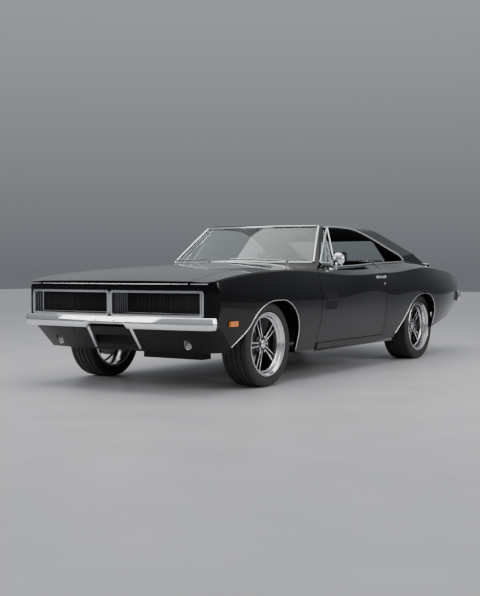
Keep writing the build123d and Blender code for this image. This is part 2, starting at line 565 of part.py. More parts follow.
# ---------------------------------------------------------------- floor, firewall and boot floor
FIREWALL_Y = HINGE_Y - 6.0
FLOOR_KICK = 620.0
FLOOR_UP = 780.0
TUNNEL_HALF = 150.0
TUNNEL_HEIGHT = 150.0
TUB_FRONT_Y = REAR_AXLE_Y - 420.0
TUB_REAR_Y = REAR_AXLE_Y + 420.0
TUB_TOP_Z = 705.0
BACKREST_Y = 1060.0
SHELF_Z = 925.0
with BuildPart() as floor_pan:
    add(prism_side([(FIREWALL_Y, FLOOR_Z), (FLOOR_KICK, FLOOR_Z), (FLOOR_UP, REAR_FLOOR_Z),
                    (TAIL_Y - TAIL_THICK, REAR_FLOOR_Z), (TAIL_Y - TAIL_THICK, REAR_FLOOR_Z + FLOOR_THICK),
                    (FLOOR_UP - 10, REAR_FLOOR_Z + FLOOR_THICK),
                    (FLOOR_KICK - 10, FLOOR_Z + FLOOR_THICK), (FIREWALL_Y, FLOOR_Z + FLOOR_THICK)],
                   (-BODY_INNER_X, BODY_INNER_X)))
    with BuildSketch(Plane.XZ.offset(-FIREWALL_Y)):
        with Locations((0, FLOOR_Z + TUNNEL_HEIGHT / 2)):
            RectangleRounded(2 * TUNNEL_HALF, TUNNEL_HEIGHT, 40)
    extrude(amount=FIREWALL_Y - FLOOR_KICK)
    with BuildSketch(Plane.XZ.offset(-FIREWALL_Y + 5)):
        with Locations((0, FLOOR_Z + TUNNEL_HEIGHT / 2 - 40)):
            RectangleRounded(2 * (TUNNEL_HALF - FLOOR_THICK), TUNNEL_HEIGHT + 40, 30)
    extrude(amount=FIREWALL_Y - FLOOR_KICK - 10, mode=Mode.SUBTRACT)
    with BuildPart(mode=Mode.PRIVATE) as bulkheads:
        add(box((-BODY_INNER_X, BODY_INNER_X), (FIREWALL_Y, FIREWALL_Y + FLOOR_THICK),
                (FLOOR_Z + 1, 1000)))
        add(box((-120, 120), (FIREWALL_Y - 1, FIREWALL_Y + FLOOR_THICK + 1), (FLOOR_Z - 1, 430)),
            mode=Mode.SUBTRACT)
        add(box((-COWL_HALF_WIDTH, COWL_HALF_WIDTH), (BACKREST_Y, BACKREST_Y + FLOOR_THICK),
                (REAR_FLOOR_Z + 1, SHELF_Z)))
        add(box((-LID_HALF_WIDTH - 60, LID_HALF_WIDTH + 60), (BACKREST_Y, GLASS_BASE_Y - 10),
                (SHELF_Z - 20, SHELF_Z)))
        for side in (1, -1):
            tub_x = sorted((side * TUB_INNER_X, side * 1000))
            air_x = sorted((side * (TUB_INNER_X + 12), side * 1000))
            add(box(tub_x, (TUB_FRONT_Y, TUB_REAR_Y), (REAR_FLOOR_Z - 60, TUB_TOP_Z)))
            add(box(air_x, (TUB_FRONT_Y + 12, TUB_REAR_Y - 12), (0, TUB_TOP_Z - 12)),
                mode=Mode.SUBTRACT)
        add(INNER, mode=Mode.INTERSECT)
    add(bulkheads.part)
    add(box((-90, 90), (FLOOR_KICK - 30, FLOOR_UP + 20), (FLOOR_Z - 20, FLOOR_Z + 100)),
        mode=Mode.SUBTRACT)
    for side in (1, -1):
        air_x = sorted((side * (TUB_INNER_X + 12), side * 1000))
        add(box(air_x, (TUB_FRONT_Y + 12, TUB_REAR_Y - 12), (0, TUB_TOP_Z - 12)),
            mode=Mode.SUBTRACT)
    for solid in (quarter_left.part, quarter_right.part, cowl.part, tail_panel.part):
        add(solid, mode=Mode.SUBTRACT)
save("floor_pan", floor_pan.part)

# ---------------------------------------------------------------- front frame and inner aprons
RAIL_Z = (330.0, 420.0)
RAIL_FRONT_Y = -2385.0
SUPPORT_Y = -2268.0
APRON_X = RAIL_X + RAIL_WIDTH / 2
CROSS_Y = (FRONT_AXLE_Y - 60.0, FRONT_AXLE_Y + 60.0)
CROSS_Z = (262.0, 334.0)
CROSS_DROP_X = 300.0                # the middle of the cross-member hangs lower, under the engine
CROSS_DROP_Z = 185.0
with BuildPart() as front_frame:
    for side in (1, -1):
        rail_x = sorted((side * (RAIL_X - RAIL_WIDTH / 2), side * (RAIL_X + RAIL_WIDTH / 2)))
        add(box(rail_x, (RAIL_FRONT_Y, FIREWALL_Y), RAIL_Z))
        apron_x = sorted((side * (APRON_X - 12), side * APRON_X))
        add(box(apron_x, (SUPPORT_Y, FIREWALL_Y), (RAIL_Z[1] - 5, 850)))
        flange_x = sorted((side * (APRON_X - 12), side * 870))
        add(box(flange_x, (FENDER_REAR_Y - 130, FENDER_REAR_Y - 40), (700, 880)))
        add(box(flange_x, (SUPPORT_Y, SUPPORT_Y + 60), (815, 828)))
        perch_x = sorted((side * (HOOD_HALF_WIDTH + PANEL_GAP), side * 870))
        add(box(perch_x, (SUPPORT_Y, SUPPORT_Y + 60), (827, 900)))
        leg_x = sorted((side * (APRON_X - 12), side * 880))
        add(box(leg_x, (FENDER_REAR_Y - 130, FENDER_REAR_Y - 90), RAIL_Z))
    add(box((-APRON_X, APRON_X), (SUPPORT_Y, SUPPORT_Y + 25), (RAIL_Z[0], 800)))
    add(box((-330, 330), (SUPPORT_Y - 1, SUPPORT_Y + 26), (440, 740)), mode=Mode.SUBTRACT)
    add(box((-880, 880), (SUPPORT_Y, SUPPORT_Y + 40), (RAIL_Z[0] + 30, RAIL_Z[1])))
    add(box((-APRON_X, APRON_X), CROSS_Y, CROSS_Z))
    add(box((-CROSS_DROP_X, CROSS_DROP_X), CROSS_Y, (CROSS_DROP_Z, CROSS_Z[1])))
    add(INNER, mode=Mode.INTERSECT)
    add(fender.part, mode=Mode.SUBTRACT)
    add(mirror(fender.part, about=Plane.YZ), mode=Mode.SUBTRACT)
    add(cowl.part, mode=Mode.SUBTRACT)
save("front_frame", front_frame.part)

# ---------------------------------------------------------------- front face
GRILLE_X = (8.0, 838.0)             # one half of the grille opening
GRILLE_Z = (566.0, 760.0)
SURROUND_RIM = 17.0
SURROUND_BACK = 3.0                 # behind the bow of the nose
SURROUND_DEPTH = 34.0
FASCIA_BACK = 10.0
FASCIA_THICK = 30.0
BEZEL_Y = -2440.0                   # the recess narrows from the rim to a frame in this plane
BEZEL_X = (100.0, 770.0)
BEZEL_Z = (592.0, 742.0)
BEZEL_MOUTH_X = (-20.0, 923.0)      # the same walls carried on to the foremost section
BEZEL_MOUTH_Z = (574.0, 744.0)
BEZEL_WALL = 6.0
BEZEL_FRAME = (10.0, 6.0)           # width and thickness of the frame
LAMP_DOOR_X = (482.0, 764.0)        # one headlamp door
LAMP_DOOR_Z = (598.0, 736.0)
LAMP_AXIS_Y = -2312.0               # the door turns about this axis
LAMP_AXIS_Z = 667.0
LAMP_DOOR_REACH = 124.0
LAMP_DOOR_THICK = 10.0
LAMP_ARM = 6.0
LAMP_R = 64.0
LAMP_BAR_BACK = 26.0                # the bar that carries the lamps, behind the axis
with BuildPart() as fascia:
    add(INNER)
    add(nose_block(FASCIA_BACK), mode=Mode.INTERSECT)
    add(nose_block(FASCIA_BACK + FASCIA_THICK), mode=Mode.SUBTRACT)
    add(box((-950, 950), (NOSE_Y, -2300), (GRILLE_Z[0] + 2, 900)), mode=Mode.INTERSECT)
    add(box((-GRILLE_X[1], GRILLE_X[1]), (-BIG, 0), GRILLE_Z), mode=Mode.SUBTRACT)
    with BuildPart(mode=Mode.PRIVATE) as hood_room:
        add(box((-HOOD_HALF_WIDTH - PANEL_GAP, HOOD_HALF_WIDTH + PANEL_GAP), (-BIG, 0), (GRILLE_Z[1], BIG)))
        add(Pos(0, 0, -PANEL_GAP) * INNER, mode=Mode.SUBTRACT)
    add(hood_room.part, mode=Mode.SUBTRACT)
save("fascia", fascia.part)


def bezel_block(grow):
    """The recess of the left half as a solid, grown outwards by a distance."""
    with BuildPart() as block:
        for y, x, z in ((NOSE_Y, BEZEL_MOUTH_X, BEZEL_MOUTH_Z), (BEZEL_Y, BEZEL_X, BEZEL_Z)):
            with BuildSketch(Plane.XZ.offset(-y)):
                with Locations(((x[0] + x[1]) / 2, (z[0] + z[1]) / 2)):
                    Rectangle(x[1] - x[0] + 2 * grow, z[1] - z[0] + 2 * grow)
        loft()
    return block.part


with BuildPart() as surround_half:
    grille_middle = ((GRILLE_X[0] + GRILLE_X[1]) / 2, (GRILLE_Z[0] + GRILLE_Z[1]) / 2)
    width = GRILLE_X[1] - GRILLE_X[0]
    height = GRILLE_Z[1] - GRILLE_Z[0]
    with BuildSketch(Plane.XZ.offset(-NOSE_Y)):
        with Locations(grille_middle):
            RectangleRounded(width, height, 22)
            RectangleRounded(width - 2 * SURROUND_RIM, height - 2 * SURROUND_RIM, 14,
                             mode=Mode.SUBTRACT)
    extrude(amount=-140)
    add(nose_block(SURROUND_BACK), mode=Mode.INTERSECT)
    add(nose_block(SURROUND_BACK + SURROUND_DEPTH), mode=Mode.SUBTRACT)
    with BuildPart(mode=Mode.PRIVATE) as bezel:
        add(bezel_block(BEZEL_WALL))
        add(bezel_block(0), mode=Mode.SUBTRACT)
        add(nose_block(SURROUND_BACK + 12), mode=Mode.INTERSECT)
        add(box((1, GRILLE_X[1] - 2), (-BIG, 0), (GRILLE_Z[0] + 2, GRILLE_Z[1] - 2)), mode=Mode.INTERSECT)
        with BuildSketch(Plane.XZ.offset(-BEZEL_Y)):
            with Locations(((BEZEL_X[0] + BEZEL_X[1]) / 2, (BEZEL_Z[0] + BEZEL_Z[1]) / 2)):
                Rectangle(BEZEL_X[1] - BEZEL_X[0] + 2 * BEZEL_FRAME[0],
                          BEZEL_Z[1] - BEZEL_Z[0] + 2 * BEZEL_FRAME[0])
                Rectangle(BEZEL_X[1] - BEZEL_X[0], BEZEL_Z[1] - BEZEL_Z[0], mode=Mode.SUBTRACT)
        extrude(amount=BEZEL_FRAME[1])
    add(bezel.part)

with BuildPart() as grille_surround:
    add(surround_half.part)
    add(mirror(surround_half.part, about=Plane.YZ))
    add(box((-GRILLE_X[0] - 1, GRILLE_X[0] + 1), (-2540, -2506), (GRILLE_Z[0] + 30, GRILLE_Z[1] - 30)))
save("grille_surround", grille_surround.part)

RIB_PITCH = 26.0
RIB_THICK = 5.0
RIB_DEPTH = 8.0
with BuildPart() as grille:
    for side in (1, -1):
        panel_x = sorted((side * (BEZEL_X[0] - 8), side * (LAMP_DOOR_X[0] - 7)))
        add(box(panel_x, (BEZEL_Y, BEZEL_Y + 8), (BEZEL_Z[0] - 6, BEZEL_Z[1] + 6)))
        rib_count = int((LAMP_DOOR_X[0] - 7 - BEZEL_X[0]) / RIB_PITCH)
        for rib in range(rib_count):
            rib_x = BEZEL_X[0] + RIB_PITCH * (rib + 0.5)
            add(box(sorted((side * rib_x, side * (rib_x + RIB_THICK))),
                    (BEZEL_Y - RIB_DEPTH, BEZEL_Y + 1), (BEZEL_Z[0] + 1, BEZEL_Z[1] - 1)))
save("grille", grille.part)

lamp_arm_z = (LAMP_AXIS_Z - 14, LAMP_AXIS_Z + 14)
with BuildPart() as lamp_door:
    add(box(LAMP_DOOR_X, (LAMP_AXIS_Y - LAMP_DOOR_REACH, LAMP_AXIS_Y - LAMP_DOOR_REACH + LAMP_DOOR_THICK),
            LAMP_DOOR_Z))
    for arm_x in (LAMP_DOOR_X[0], LAMP_DOOR_X[1] - LAMP_ARM):
        add(box((arm_x, arm_x + LAMP_ARM), (LAMP_AXIS_Y - LAMP_DOOR_REACH + 1, LAMP_AXIS_Y + 14),
                lamp_arm_z))
    for pin_x in (LAMP_DOOR_X[0] - 14, LAMP_DOOR_X[1] - 1):
        add(rod((pin_x, LAMP_AXIS_Y, LAMP_AXIS_Z), (pin_x + 15, LAMP_AXIS_Y, LAMP_AXIS_Z), 6))
save_pair("headlamp_door", lamp_door.part)

LAMP_X = (558.0, 688.0)
LAMP_FACE_Y = LAMP_AXIS_Y - 84.0
with BuildPart() as headlamps:
    for side in (1, -1):
        for lamp_x in LAMP_X:
            add(rod((side * lamp_x, LAMP_FACE_Y, LAMP_AXIS_Z),
                    (side * lamp_x, LAMP_AXIS_Y + 12, LAMP_AXIS_Z), LAMP_R))
        bar_x = sorted((side * (APRON_X - 12), side * (LAMP_DOOR_X[1] + 14)))
        add(box(bar_x, (LAMP_AXIS_Y + LAMP_BAR_BACK, SUPPORT_Y), (LAMP_AXIS_Z - 30, LAMP_AXIS_Z + 30)))
        tie_x = sorted((side * (LAMP_X[0] - 40), side * (LAMP_X[1] + 40)))
        add(box(tie_x, (LAMP_AXIS_Y, LAMP_AXIS_Y + LAMP_BAR_BACK + 1), (LAMP_AXIS_Z - 20, LAMP_AXIS_Z + 20)))
        for ear_x in (LAMP_DOOR_X[0] - 15, LAMP_DOOR_X[1] + 6):
            with BuildPart(mode=Mode.PRIVATE) as ear:
                ear_side = sorted((side * ear_x, side * (ear_x + 8)))
                add(box(ear_side, (LAMP_AXIS_Y - 14, LAMP_AXIS_Y + LAMP_BAR_BACK + 14),
                        (LAMP_AXIS_Z - 26, LAMP_AXIS_Z + 26)))
                add(rod((side * (ear_x - 2), LAMP_AXIS_Y, LAMP_AXIS_Z),
                        (side * (ear_x + 10), LAMP_AXIS_Y, LAMP_AXIS_Z), 6 + RUNNING),
                    mode=Mode.SUBTRACT)
            add(ear.part)
save("headlamps", headlamps.part)

# ---------------------------------------------------------------- bumpers
def bumper(sign, centre_y, corner, wrap, depth, z, edge):
    """A bar bowed in plan, stepped back along its edges, whose ends wrap round the body's corners."""
    layers = ((z[0], z[0] + edge, edge), (z[0] + edge, z[1] - edge, 0), (z[1] - edge, z[1], edge))
    with BuildPart() as bar:
        for low, high, back in layers:
            front = (corner[0] - back * 0.7, corner[1] - sign * back)
            tip = (wrap[0] - back, wrap[1] - sign * back * 0.5)
            inner_corner = (corner[0] - depth * 0.55, corner[1] - sign * depth)
            inner_tip = (wrap[0] - depth * 0.45, tip[1])
            with BuildSketch(Plane.XY.offset(low)):
                with BuildLine():
                    ThreePointArc((-front[0], front[1]), (0, centre_y - sign * back), front)
                    ThreePointArc((-inner_corner[0], inner_corner[1]), (0, centre_y - sign * depth),
                                  inner_corner)
                    for side in (1, -1):
                        bend = ((front[0] + tip[0]) / 2 + 18, (front[1] + tip[1]) / 2 + sign * 16)
                        inner_bend = ((inner_corner[0] + inner_tip[0]) / 2 + 14,
                                      (inner_corner[1] + inner_tip[1]) / 2 + sign * 10)
                        ThreePointArc((side * front[0], front[1]), (side * bend[0], bend[1]),
                                      (side * tip[0], tip[1]))
                        Line((side * tip[0], tip[1]), (side * inner_tip[0], inner_tip[1]))
                        ThreePointArc((side * inner_tip[0], inner_tip[1]),
                                      (side * inner_bend[0], inner_bend[1]),
                                      (side * inner_corner[0], inner_corner[1]))
                make_face()
            extrude(amount=high - low)
    return bar.part


FRONT_BUMPER_Z = (475.0, 568.0)
BUMPER_DEPTH = 46.0
BUMPER_NOTCH = [(-194, 470), (-178, 505), (178, 505), (194, 470)]   # raised middle of the lower edge
GUARD_TOP = (206.0, -HALF_LENGTH + 34.0, 490.0)
GUARD_FOOT = (217.0, -2438.0, 322.0)
FRONT_PLATE_Z = 536.0
PLATE_HOLE_SPACING = 178.0
PLATE_HOLE_R = 3.5
with BuildPart() as front_bumper:
    add(bumper(-1, -HALF_LENGTH, (854.0, -HALF_LENGTH + 64.0), (925.0, -2455.0), BUMPER_DEPTH,
               FRONT_BUMPER_Z, 8))
    add(OUTER, mode=Mode.SUBTRACT)
    with BuildSketch(Plane.XZ.offset(HALF_LENGTH + 10)):
        with BuildLine():
            Polyline(*BUMPER_NOTCH, close=True)
        make_face()
    extrude(amount=-100, mode=Mode.SUBTRACT)
    for side in (1, -1):
        add(rod((side * GUARD_TOP[0], GUARD_TOP[1], GUARD_TOP[2]),
                (side * GUARD_FOOT[0], GUARD_FOOT[1], GUARD_FOOT[2]), 13))
        arm_x = sorted((side * (RAIL_X - 22), side * (RAIL_X + 22)))
        add(box(arm_x, (-HALF_LENGTH + BUMPER_DEPTH - 8, RAIL_FRONT_Y + 60), (RAIL_Z[1], 500)))
    with Locations(*[Plane(origin=(x, -HALF_LENGTH, FRONT_PLATE_Z), z_dir=(0, -1, 0))
                     for x in (-PLATE_HOLE_SPACING / 2, PLATE_HOLE_SPACING / 2)]):
        Hole(PLATE_HOLE_R, depth=BUMPER_DEPTH + 20)
save("front_bumper", front_bumper.part)

REAR_BUMPER_Z = (556.0, 668.0)
with BuildPart() as rear_bumper:
    add(bumper(1, HALF_LENGTH, (770.0, HALF_LENGTH - 30.0), (868.0, 2360.0), BUMPER_DEPTH - 8,
               REAR_BUMPER_Z, 10))
    add(OUTER, mode=Mode.SUBTRACT)
    for side in (1, -1):
        arm_x = sorted((side * 400, side * 444))
        add(box(arm_x, (TAIL_Y, HALF_LENGTH - 20), (590, 634)))
    with Locations(*[Plane(origin=(x, HALF_LENGTH, 612), z_dir=(0, 1, 0))
                     for x in (-PLATE_HOLE_SPACING / 2, PLATE_HOLE_SPACING / 2)]):
        Hole(PLATE_HOLE_R, depth=BUMPER_DEPTH + 20)
save("rear_bumper", rear_bumper.part)

# ---------------------------------------------------------------- front valance and lamps
VALANCE_Z = (300.0, 486.0)
VALANCE_THICK = 16.0
PARK_LAMP_X = 625.0
PARK_LAMP_Z = 362.0
PARK_LAMP_R = 36.0
PARK_LAMP_Y = (-2394.0, -2370.0)
PARK_CAN_WALL = 9.0
OPENING_HALF = 185.0
with BuildPart() as front_valance:
    add(chin_block(0))
    add(chin_block(VALANCE_THICK), mode=Mode.SUBTRACT)
    add(box((-950, 950), (NOSE_Y, -2100), VALANCE_Z), mode=Mode.INTERSECT)
    add(INNER, mode=Mode.INTERSECT)
    add(box((-OPENING_HALF, OPENING_HALF), (-BIG, 0), (350, 420)), mode=Mode.SUBTRACT)
    with BuildPart(mode=Mode.PRIVATE) as valance_fittings:
        for side in (1, -1):
            flange_x = sorted((side * 560, side * 700))
            add(box(flange_x, (-2500, SUPPORT_Y + 2), (RAIL_Z[1] - 30, RAIL_Z[1] - 18)))
            add(rod((side * PARK_LAMP_X, -2480, PARK_LAMP_Z), (side * PARK_LAMP_X, -2360, PARK_LAMP_Z),
                    PARK_LAMP_R + PARK_CAN_WALL))
        add(chin_block(1), mode=Mode.INTERSECT)
    add(valance_fittings.part)
    for side in (1, -1):
        add(rod((side * PARK_LAMP_X, -2560, PARK_LAMP_Z), (side * PARK_LAMP_X, PARK_LAMP_Y[1], PARK_LAMP_Z),
                PARK_LAMP_R + SEAT_GAP), mode=Mode.SUBTRACT)
    add(front_frame.part, mode=Mode.SUBTRACT)
    add(front_bumper.part, mode=Mode.SUBTRACT)
save("front_valance", front_valance.part)

with BuildPart() as parking_lamps:
    for side in (1, -1):
        add(rod((side * PARK_LAMP_X, PARK_LAMP_Y[0], PARK_LAMP_Z),
                (side * PARK_LAMP_X, PARK_LAMP_Y[1], PARK_LAMP_Z), PARK_LAMP_R))
save("parking_lamps", parking_lamps.part)

with BuildPart() as marker_lamps:
    for side in (1, -1):
        with BuildPart(mode=Mode.PRIVATE) as amber:
            marker_x = sorted((side * 900, side * 944))
            add(box(marker_x, (-2304, -2206), (498, 536)))
            add(fender.part, mode=Mode.SUBTRACT)
            add(mirror(fender.part, about=Plane.YZ), mode=Mode.SUBTRACT)
        add(amber.part.solids().sort_by(Axis.X)[-1 if side > 0 else 0])
save("marker_lamps", marker_lamps.part)

# ---------------------------------------------------------------- heavy and underside pieces
with BuildPart() as engine_block:
    add(box((-255, 255), (-2060, -1250), (CROSS_Z[1], 790)))
    for side in (1, -1):
        mount_x = sorted((side * 254, side * (RAIL_X - RAIL_WIDTH / 2)))
        add(box(mount_x, (-1700, -1560), (350, 410)))
save("engine_block", engine_block.part)

DRIVE_Z = 330.0
MEMBER_X = 286.0                    # half length of the cross-member under the gearbox
MEMBER_Y = (-620.0, -560.0)
MEMBER_Z = 238.0
with BuildPart() as driveline:
    add(rod((0, -1250, DRIVE_Z + 40), (0, -1020, DRIVE_Z + 20), 120))
    add(rod((0, -1022, DRIVE_Z + 20), (0, -300, DRIVE_Z), 70))
    add(rod((0, -302, DRIVE_Z), (0, REAR_AXLE_Y - 130, DRIVE_Z), 42))
    add(box((-MEMBER_X, MEMBER_X), MEMBER_Y, (MEMBER_Z, MEMBER_Z + 20)))
    for side in (1, -1):
        member_x = sorted((side * (MEMBER_X - 24), side * MEMBER_X))
        add(box(member_x, MEMBER_Y, (MEMBER_Z, FLOOR_Z)))
    add(engine_block.part, mode=Mode.SUBTRACT)
save("driveline", driveline.part)

PIPE_R = 27.0
PIPE_X = 330.0
PIPE_Z = 244.0
TIP_X = 404.0
MUFFLER = (190.0, 520.0, 92.0)      # width, length and height
with BuildPart() as exhaust:
    for side in (1, -1):
        runs = [(side * 262, -1500, 520), (side * 300, -1280, 300), (side * PIPE_X, -1000, PIPE_Z),
                (side * PIPE_X, 640, PIPE_Z), (side * PIPE_X, 1010, 440),
                (side * PIPE_X, 1450, 440), (side * TIP_X, 1760, 430), (side * TIP_X, 2560, 432)]
        with BuildPart(mode=Mode.PRIVATE) as pipe:
            with BuildLine() as route:
                FilletPolyline(*runs, radius=90)
            with BuildSketch(Plane(origin=route.wire() @ 0, z_dir=route.wire() % 0)):
                Circle(PIPE_R)
            sweep(path=route.wire())
            with BuildSketch(Plane(origin=runs[-1], z_dir=(0, 1, 0))):
                Circle(PIPE_R - 4)
            extrude(amount=-90, mode=Mode.SUBTRACT)
        add(pipe.part)
        with BuildSketch(Plane.XZ.offset(60)):
            with Locations((side * PIPE_X, PIPE_Z)):
                RectangleRounded(MUFFLER[0], MUFFLER[2], 40)
        extrude(amount=-MUFFLER[1])
        hanger_x = sorted((side * (PIPE_X - 8), side * (PIPE_X + 8)))
        add(box(hanger_x, (180, 240), (PIPE_Z, FLOOR_Z)))
        tip_hanger_x = sorted((side * (TIP_X - 8), side * (TIP_X + 8)))
        add(box(tip_hanger_x, (2060, 2100), (440, REAR_FLOOR_Z)))
    add(engine_block.part, mode=Mode.SUBTRACT)
save("exhaust", exhaust.part)

with BuildPart() as fuel_tank:
    add(box((-355, 355), (1780, 2330), (395, REAR_FLOOR_Z)))
    fillet(fuel_tank.faces().sort_by(Axis.Z)[0].edges(), 30)
save("fuel_tank", fuel_tank.part)

# Front arms carry the kingpin pins of the knuckles
ARM_LOW_Z = (264.0, 284.0)
ARM_HIGH_Z = (478.0, 494.0)
with BuildPart() as front_suspension:
    for side in (1, -1):
        add(prism_plan([(side * APRON_X, FRONT_AXLE_Y - 58), (side * (KINGPIN_X + 20), FRONT_AXLE_Y - 26),
                        (side * (KINGPIN_X + 20), FRONT_AXLE_Y + 26),
                        (side * APRON_X, FRONT_AXLE_Y + 58)], ARM_LOW_Z))
        add(prism_plan([(side * APRON_X, FRONT_AXLE_Y - 70), (side * (KINGPIN_X + 18), FRONT_AXLE_Y - 22),
                        (side * (KINGPIN_X + 18), FRONT_AXLE_Y + 22),
                        (side * APRON_X, FRONT_AXLE_Y + 70)], ARM_HIGH_Z))
        with Locations((side * KINGPIN_X, FRONT_AXLE_Y, 380)):
            Cylinder(KINGPIN_R + RUNNING, 400, mode=Mode.SUBTRACT)
save("front_suspension", front_suspension.part)

with BuildPart() as knuckle:
    with BuildSketch(Plane.XY.offset(ARM_LOW_Z[0])):
        with Locations((KINGPIN_X, FRONT_AXLE_Y)):
            Circle(KINGPIN_R)
    extrude(amount=ARM_HIGH_Z[1] - ARM_LOW_Z[0])
    add(box((KINGPIN_X - 22, KINGPIN_X + 22), (FRONT_AXLE_Y - 26, FRONT_AXLE_Y + 26),
            (ARM_LOW_Z[1] + 1, ARM_HIGH_Z[0] - 1)))
    add(rod((KINGPIN_X, FRONT_AXLE_Y, TYRE_R_FRONT), (TRACK_FRONT_X + 40, FRONT_AXLE_Y, TYRE_R_FRONT),
            SPINDLE_R - RUNNING))
    add(box((KINGPIN_X + 10, KINGPIN_X + 34), (FRONT_AXLE_Y + 20, FRONT_AXLE_Y + 190),
            (TYRE_R_FRONT - 45, TYRE_R_FRONT + 45)))
    add(box((KINGPIN_X + 10, KINGPIN_X + 86), (FRONT_AXLE_Y + DISC_R + 6, FRONT_AXLE_Y + 192),
            (TYRE_R_FRONT - 45, TYRE_R_FRONT + 45)))
save_pair("knuckle", knuckle.part)

# Solid rear axle on leaf springs
SPRING_X = 480.0
AXLE_END_X = TRACK_REAR_X + 30
AXLE_PROFILE = [(0, 128), (60, 128), (165, 40), (600, 40), (600, 120), (640, 120),
                (640, SPINDLE_R - RUNNING), (AXLE_END_X, SPINDLE_R - RUNNING), (AXLE_END_X, 0)]
with BuildPart() as rear_axle:
    with BuildSketch(Plane(origin=(0, REAR_AXLE_Y, TYRE_R_REAR), x_dir=(1, 0, 0), z_dir=(0, -1, 0))):
        with BuildLine():
            Polyline((0, 0), *AXLE_PROFILE, close=True)
        make_face()
    revolve(axis=Axis((0, REAR_AXLE_Y, TYRE_R_REAR), (1, 0, 0)))
    mirror(about=Plane.YZ)
    for side in (1, -1):
        spring_x = sorted((side * (SPRING_X - 32), side * (SPRING_X + 32)))
        with BuildPart(mode=Mode.PRIVATE) as spring:
            with BuildSketch(Plane.YZ.offset(spring_x[0])):
                with BuildLine():
                    ThreePointArc((600, 268), (REAR_AXLE_Y, 258), (2000, 420))
                    ThreePointArc((600, 292), (REAR_AXLE_Y, 286), (2000, 440))
                    Line((600, 268), (600, 292))
                    Line((2000, 420), (2000, 440))
                make_face()
            extrude(amount=64)
        add(spring.part)
        add(box(spring_x, (1960, 2000), (430, REAR_FLOOR_Z)))
        add(box(spring_x, (570, 606), (268, FLOOR_Z)))
        add(box(spring_x, (REAR_AXLE_Y - 40, REAR_AXLE_Y + 40), (280, TYRE_R_REAR)))
save("rear_axle", rear_axle.part)


# ---------------------------------------------------------------- wheels and tyres
def wheel(centre_x, centre_y, tyre_r, tyre_w, lip_x, recess, disc_gap):
    """Rim, five split spokes, hub, cap and brake disc, for the left side of the car."""
    with BuildPart() as rim:
        face_x = lip_x - recess
        inner_x = centre_x - tyre_w / 2 + 12
        with BuildSketch(Plane.XY):
            with BuildLine():
                Polyline((inner_x, BARREL_R + 18), (inner_x, BARREL_R + 6), (inner_x + 10, BARREL_R),
                         (face_x - 24, BARREL_R - 8), (face_x - 14, BARREL_R - 18),
                         (face_x + 2, BARREL_R - 18), (face_x + 8, BARREL_R - 6),
                         (lip_x - 14, BARREL_R + 4), (lip_x - 6, RIM_R - 12), (lip_x, RIM_R - 8),
                         (lip_x, RIM_R), (lip_x - 14, RIM_R), (lip_x - 16, RIM_R - 12),
                         (inner_x + 12, RIM_R - 12), (inner_x + 12, RIM_R), (inner_x, RIM_R),
                         close=True)
            make_face()
        revolve(axis=Axis.X)
        with BuildSketch(Plane.YZ.offset(face_x - 30)):
            Circle(HUB_R)
        extrude(amount=28)
        with BuildSketch(Plane.YZ.offset(face_x - 3)):
            Circle(CAP_R)
        extrude(amount=14)
        for spoke in range(SPOKES):
            turn = Rot(360 * spoke / SPOKES + 18, 0, 0)
            with BuildPart(mode=Mode.PRIVATE) as one_spoke:
                with BuildSketch(Plane.YZ.offset(face_x - 24)):
                    with BuildLine():
                        Polyline((-26, HUB_R - 12), (26, HUB_R - 12), (38, BARREL_R - 12),
                                 (-38, BARREL_R - 12), close=True)
                    make_face()
                extrude(amount=20)
                with BuildSketch(Plane.YZ.offset(face_x - 14)):
                    with BuildLine():
                        Polyline((-9, HUB_R + 16), (9, HUB_R + 16), (24, BARREL_R - 30),
                                 (-24, BARREL_R - 30), close=True)
                    make_face()
                extrude(amount=20, mode=Mode.SUBTRACT)
            add(turn * one_spoke.part)
        with BuildSketch(Plane.YZ.offset(disc_gap)):
            Circle(DISC_R)
        extrude(amount=DISC_THICK)
        with BuildSketch(Plane.YZ.offset(disc_gap)):
            Circle(70)
        extrude(amount=face_x - 29 - disc_gap)
        with BuildSketch(Plane.YZ.offset(disc_gap - 1)):
            Circle(SPINDLE_R)
        extrude(amount=centre_x + 44 - disc_gap, mode=Mode.SUBTRACT)
    return Pos(0, centre_y, tyre_r) * rim.part


def tyre(centre_x, centre_y, tyre_r, tyre_w):
    """A closed tyre whose beads sit on the rim."""
    half = tyre_w / 2
    with BuildPart() as casing:
        with BuildSketch(Plane.XY):
            with BuildLine():
                Polyline((centre_x - half + 25, RIM_R - 12 + SEAT_GAP),
                         (centre_x - half + 24.5, RIM_R + SEAT_GAP), (centre_x - half + 10, RIM_R + 4),
                         (centre_x - half, RIM_R + 36), (centre_x - half + 6, tyre_r - 20),
                         (centre_x - half + 24, tyre_r), (centre_x + half - 24, tyre_r),
                         (centre_x + half - 6, tyre_r - 20), (centre_x + half, RIM_R + 36),
                         (centre_x + half - 10, RIM_R + 4), (centre_x + half - 28.5, RIM_R + SEAT_GAP),
                         (centre_x + half - 29, RIM_R - 12 + SEAT_GAP), close=True)
            make_face()
        revolve(axis=Axis.X)
    return Pos(0, centre_y, tyre_r) * casing.part


CORNERS = [("front", TRACK_FRONT_X, FRONT_AXLE_Y, TYRE_R_FRONT, TYRE_W_FRONT, CAP_RECESS_FRONT,
            KINGPIN_X + 44.0),
           ("rear", TRACK_REAR_X, REAR_AXLE_Y, TYRE_R_REAR, TYRE_W_REAR, CAP_RECESS_REAR, 646.0)]
for end, track_x, axle_y, radius, width, recess, disc_x in CORNERS:
    lip_x = track_x + width / 2 - 8
    save_pair("wheel_" + end, wheel(track_x, axle_y, radius, width, lip_x, recess, disc_x))
    save_pair("tyre_" + end, tyre(track_x, axle_y, radius, width))

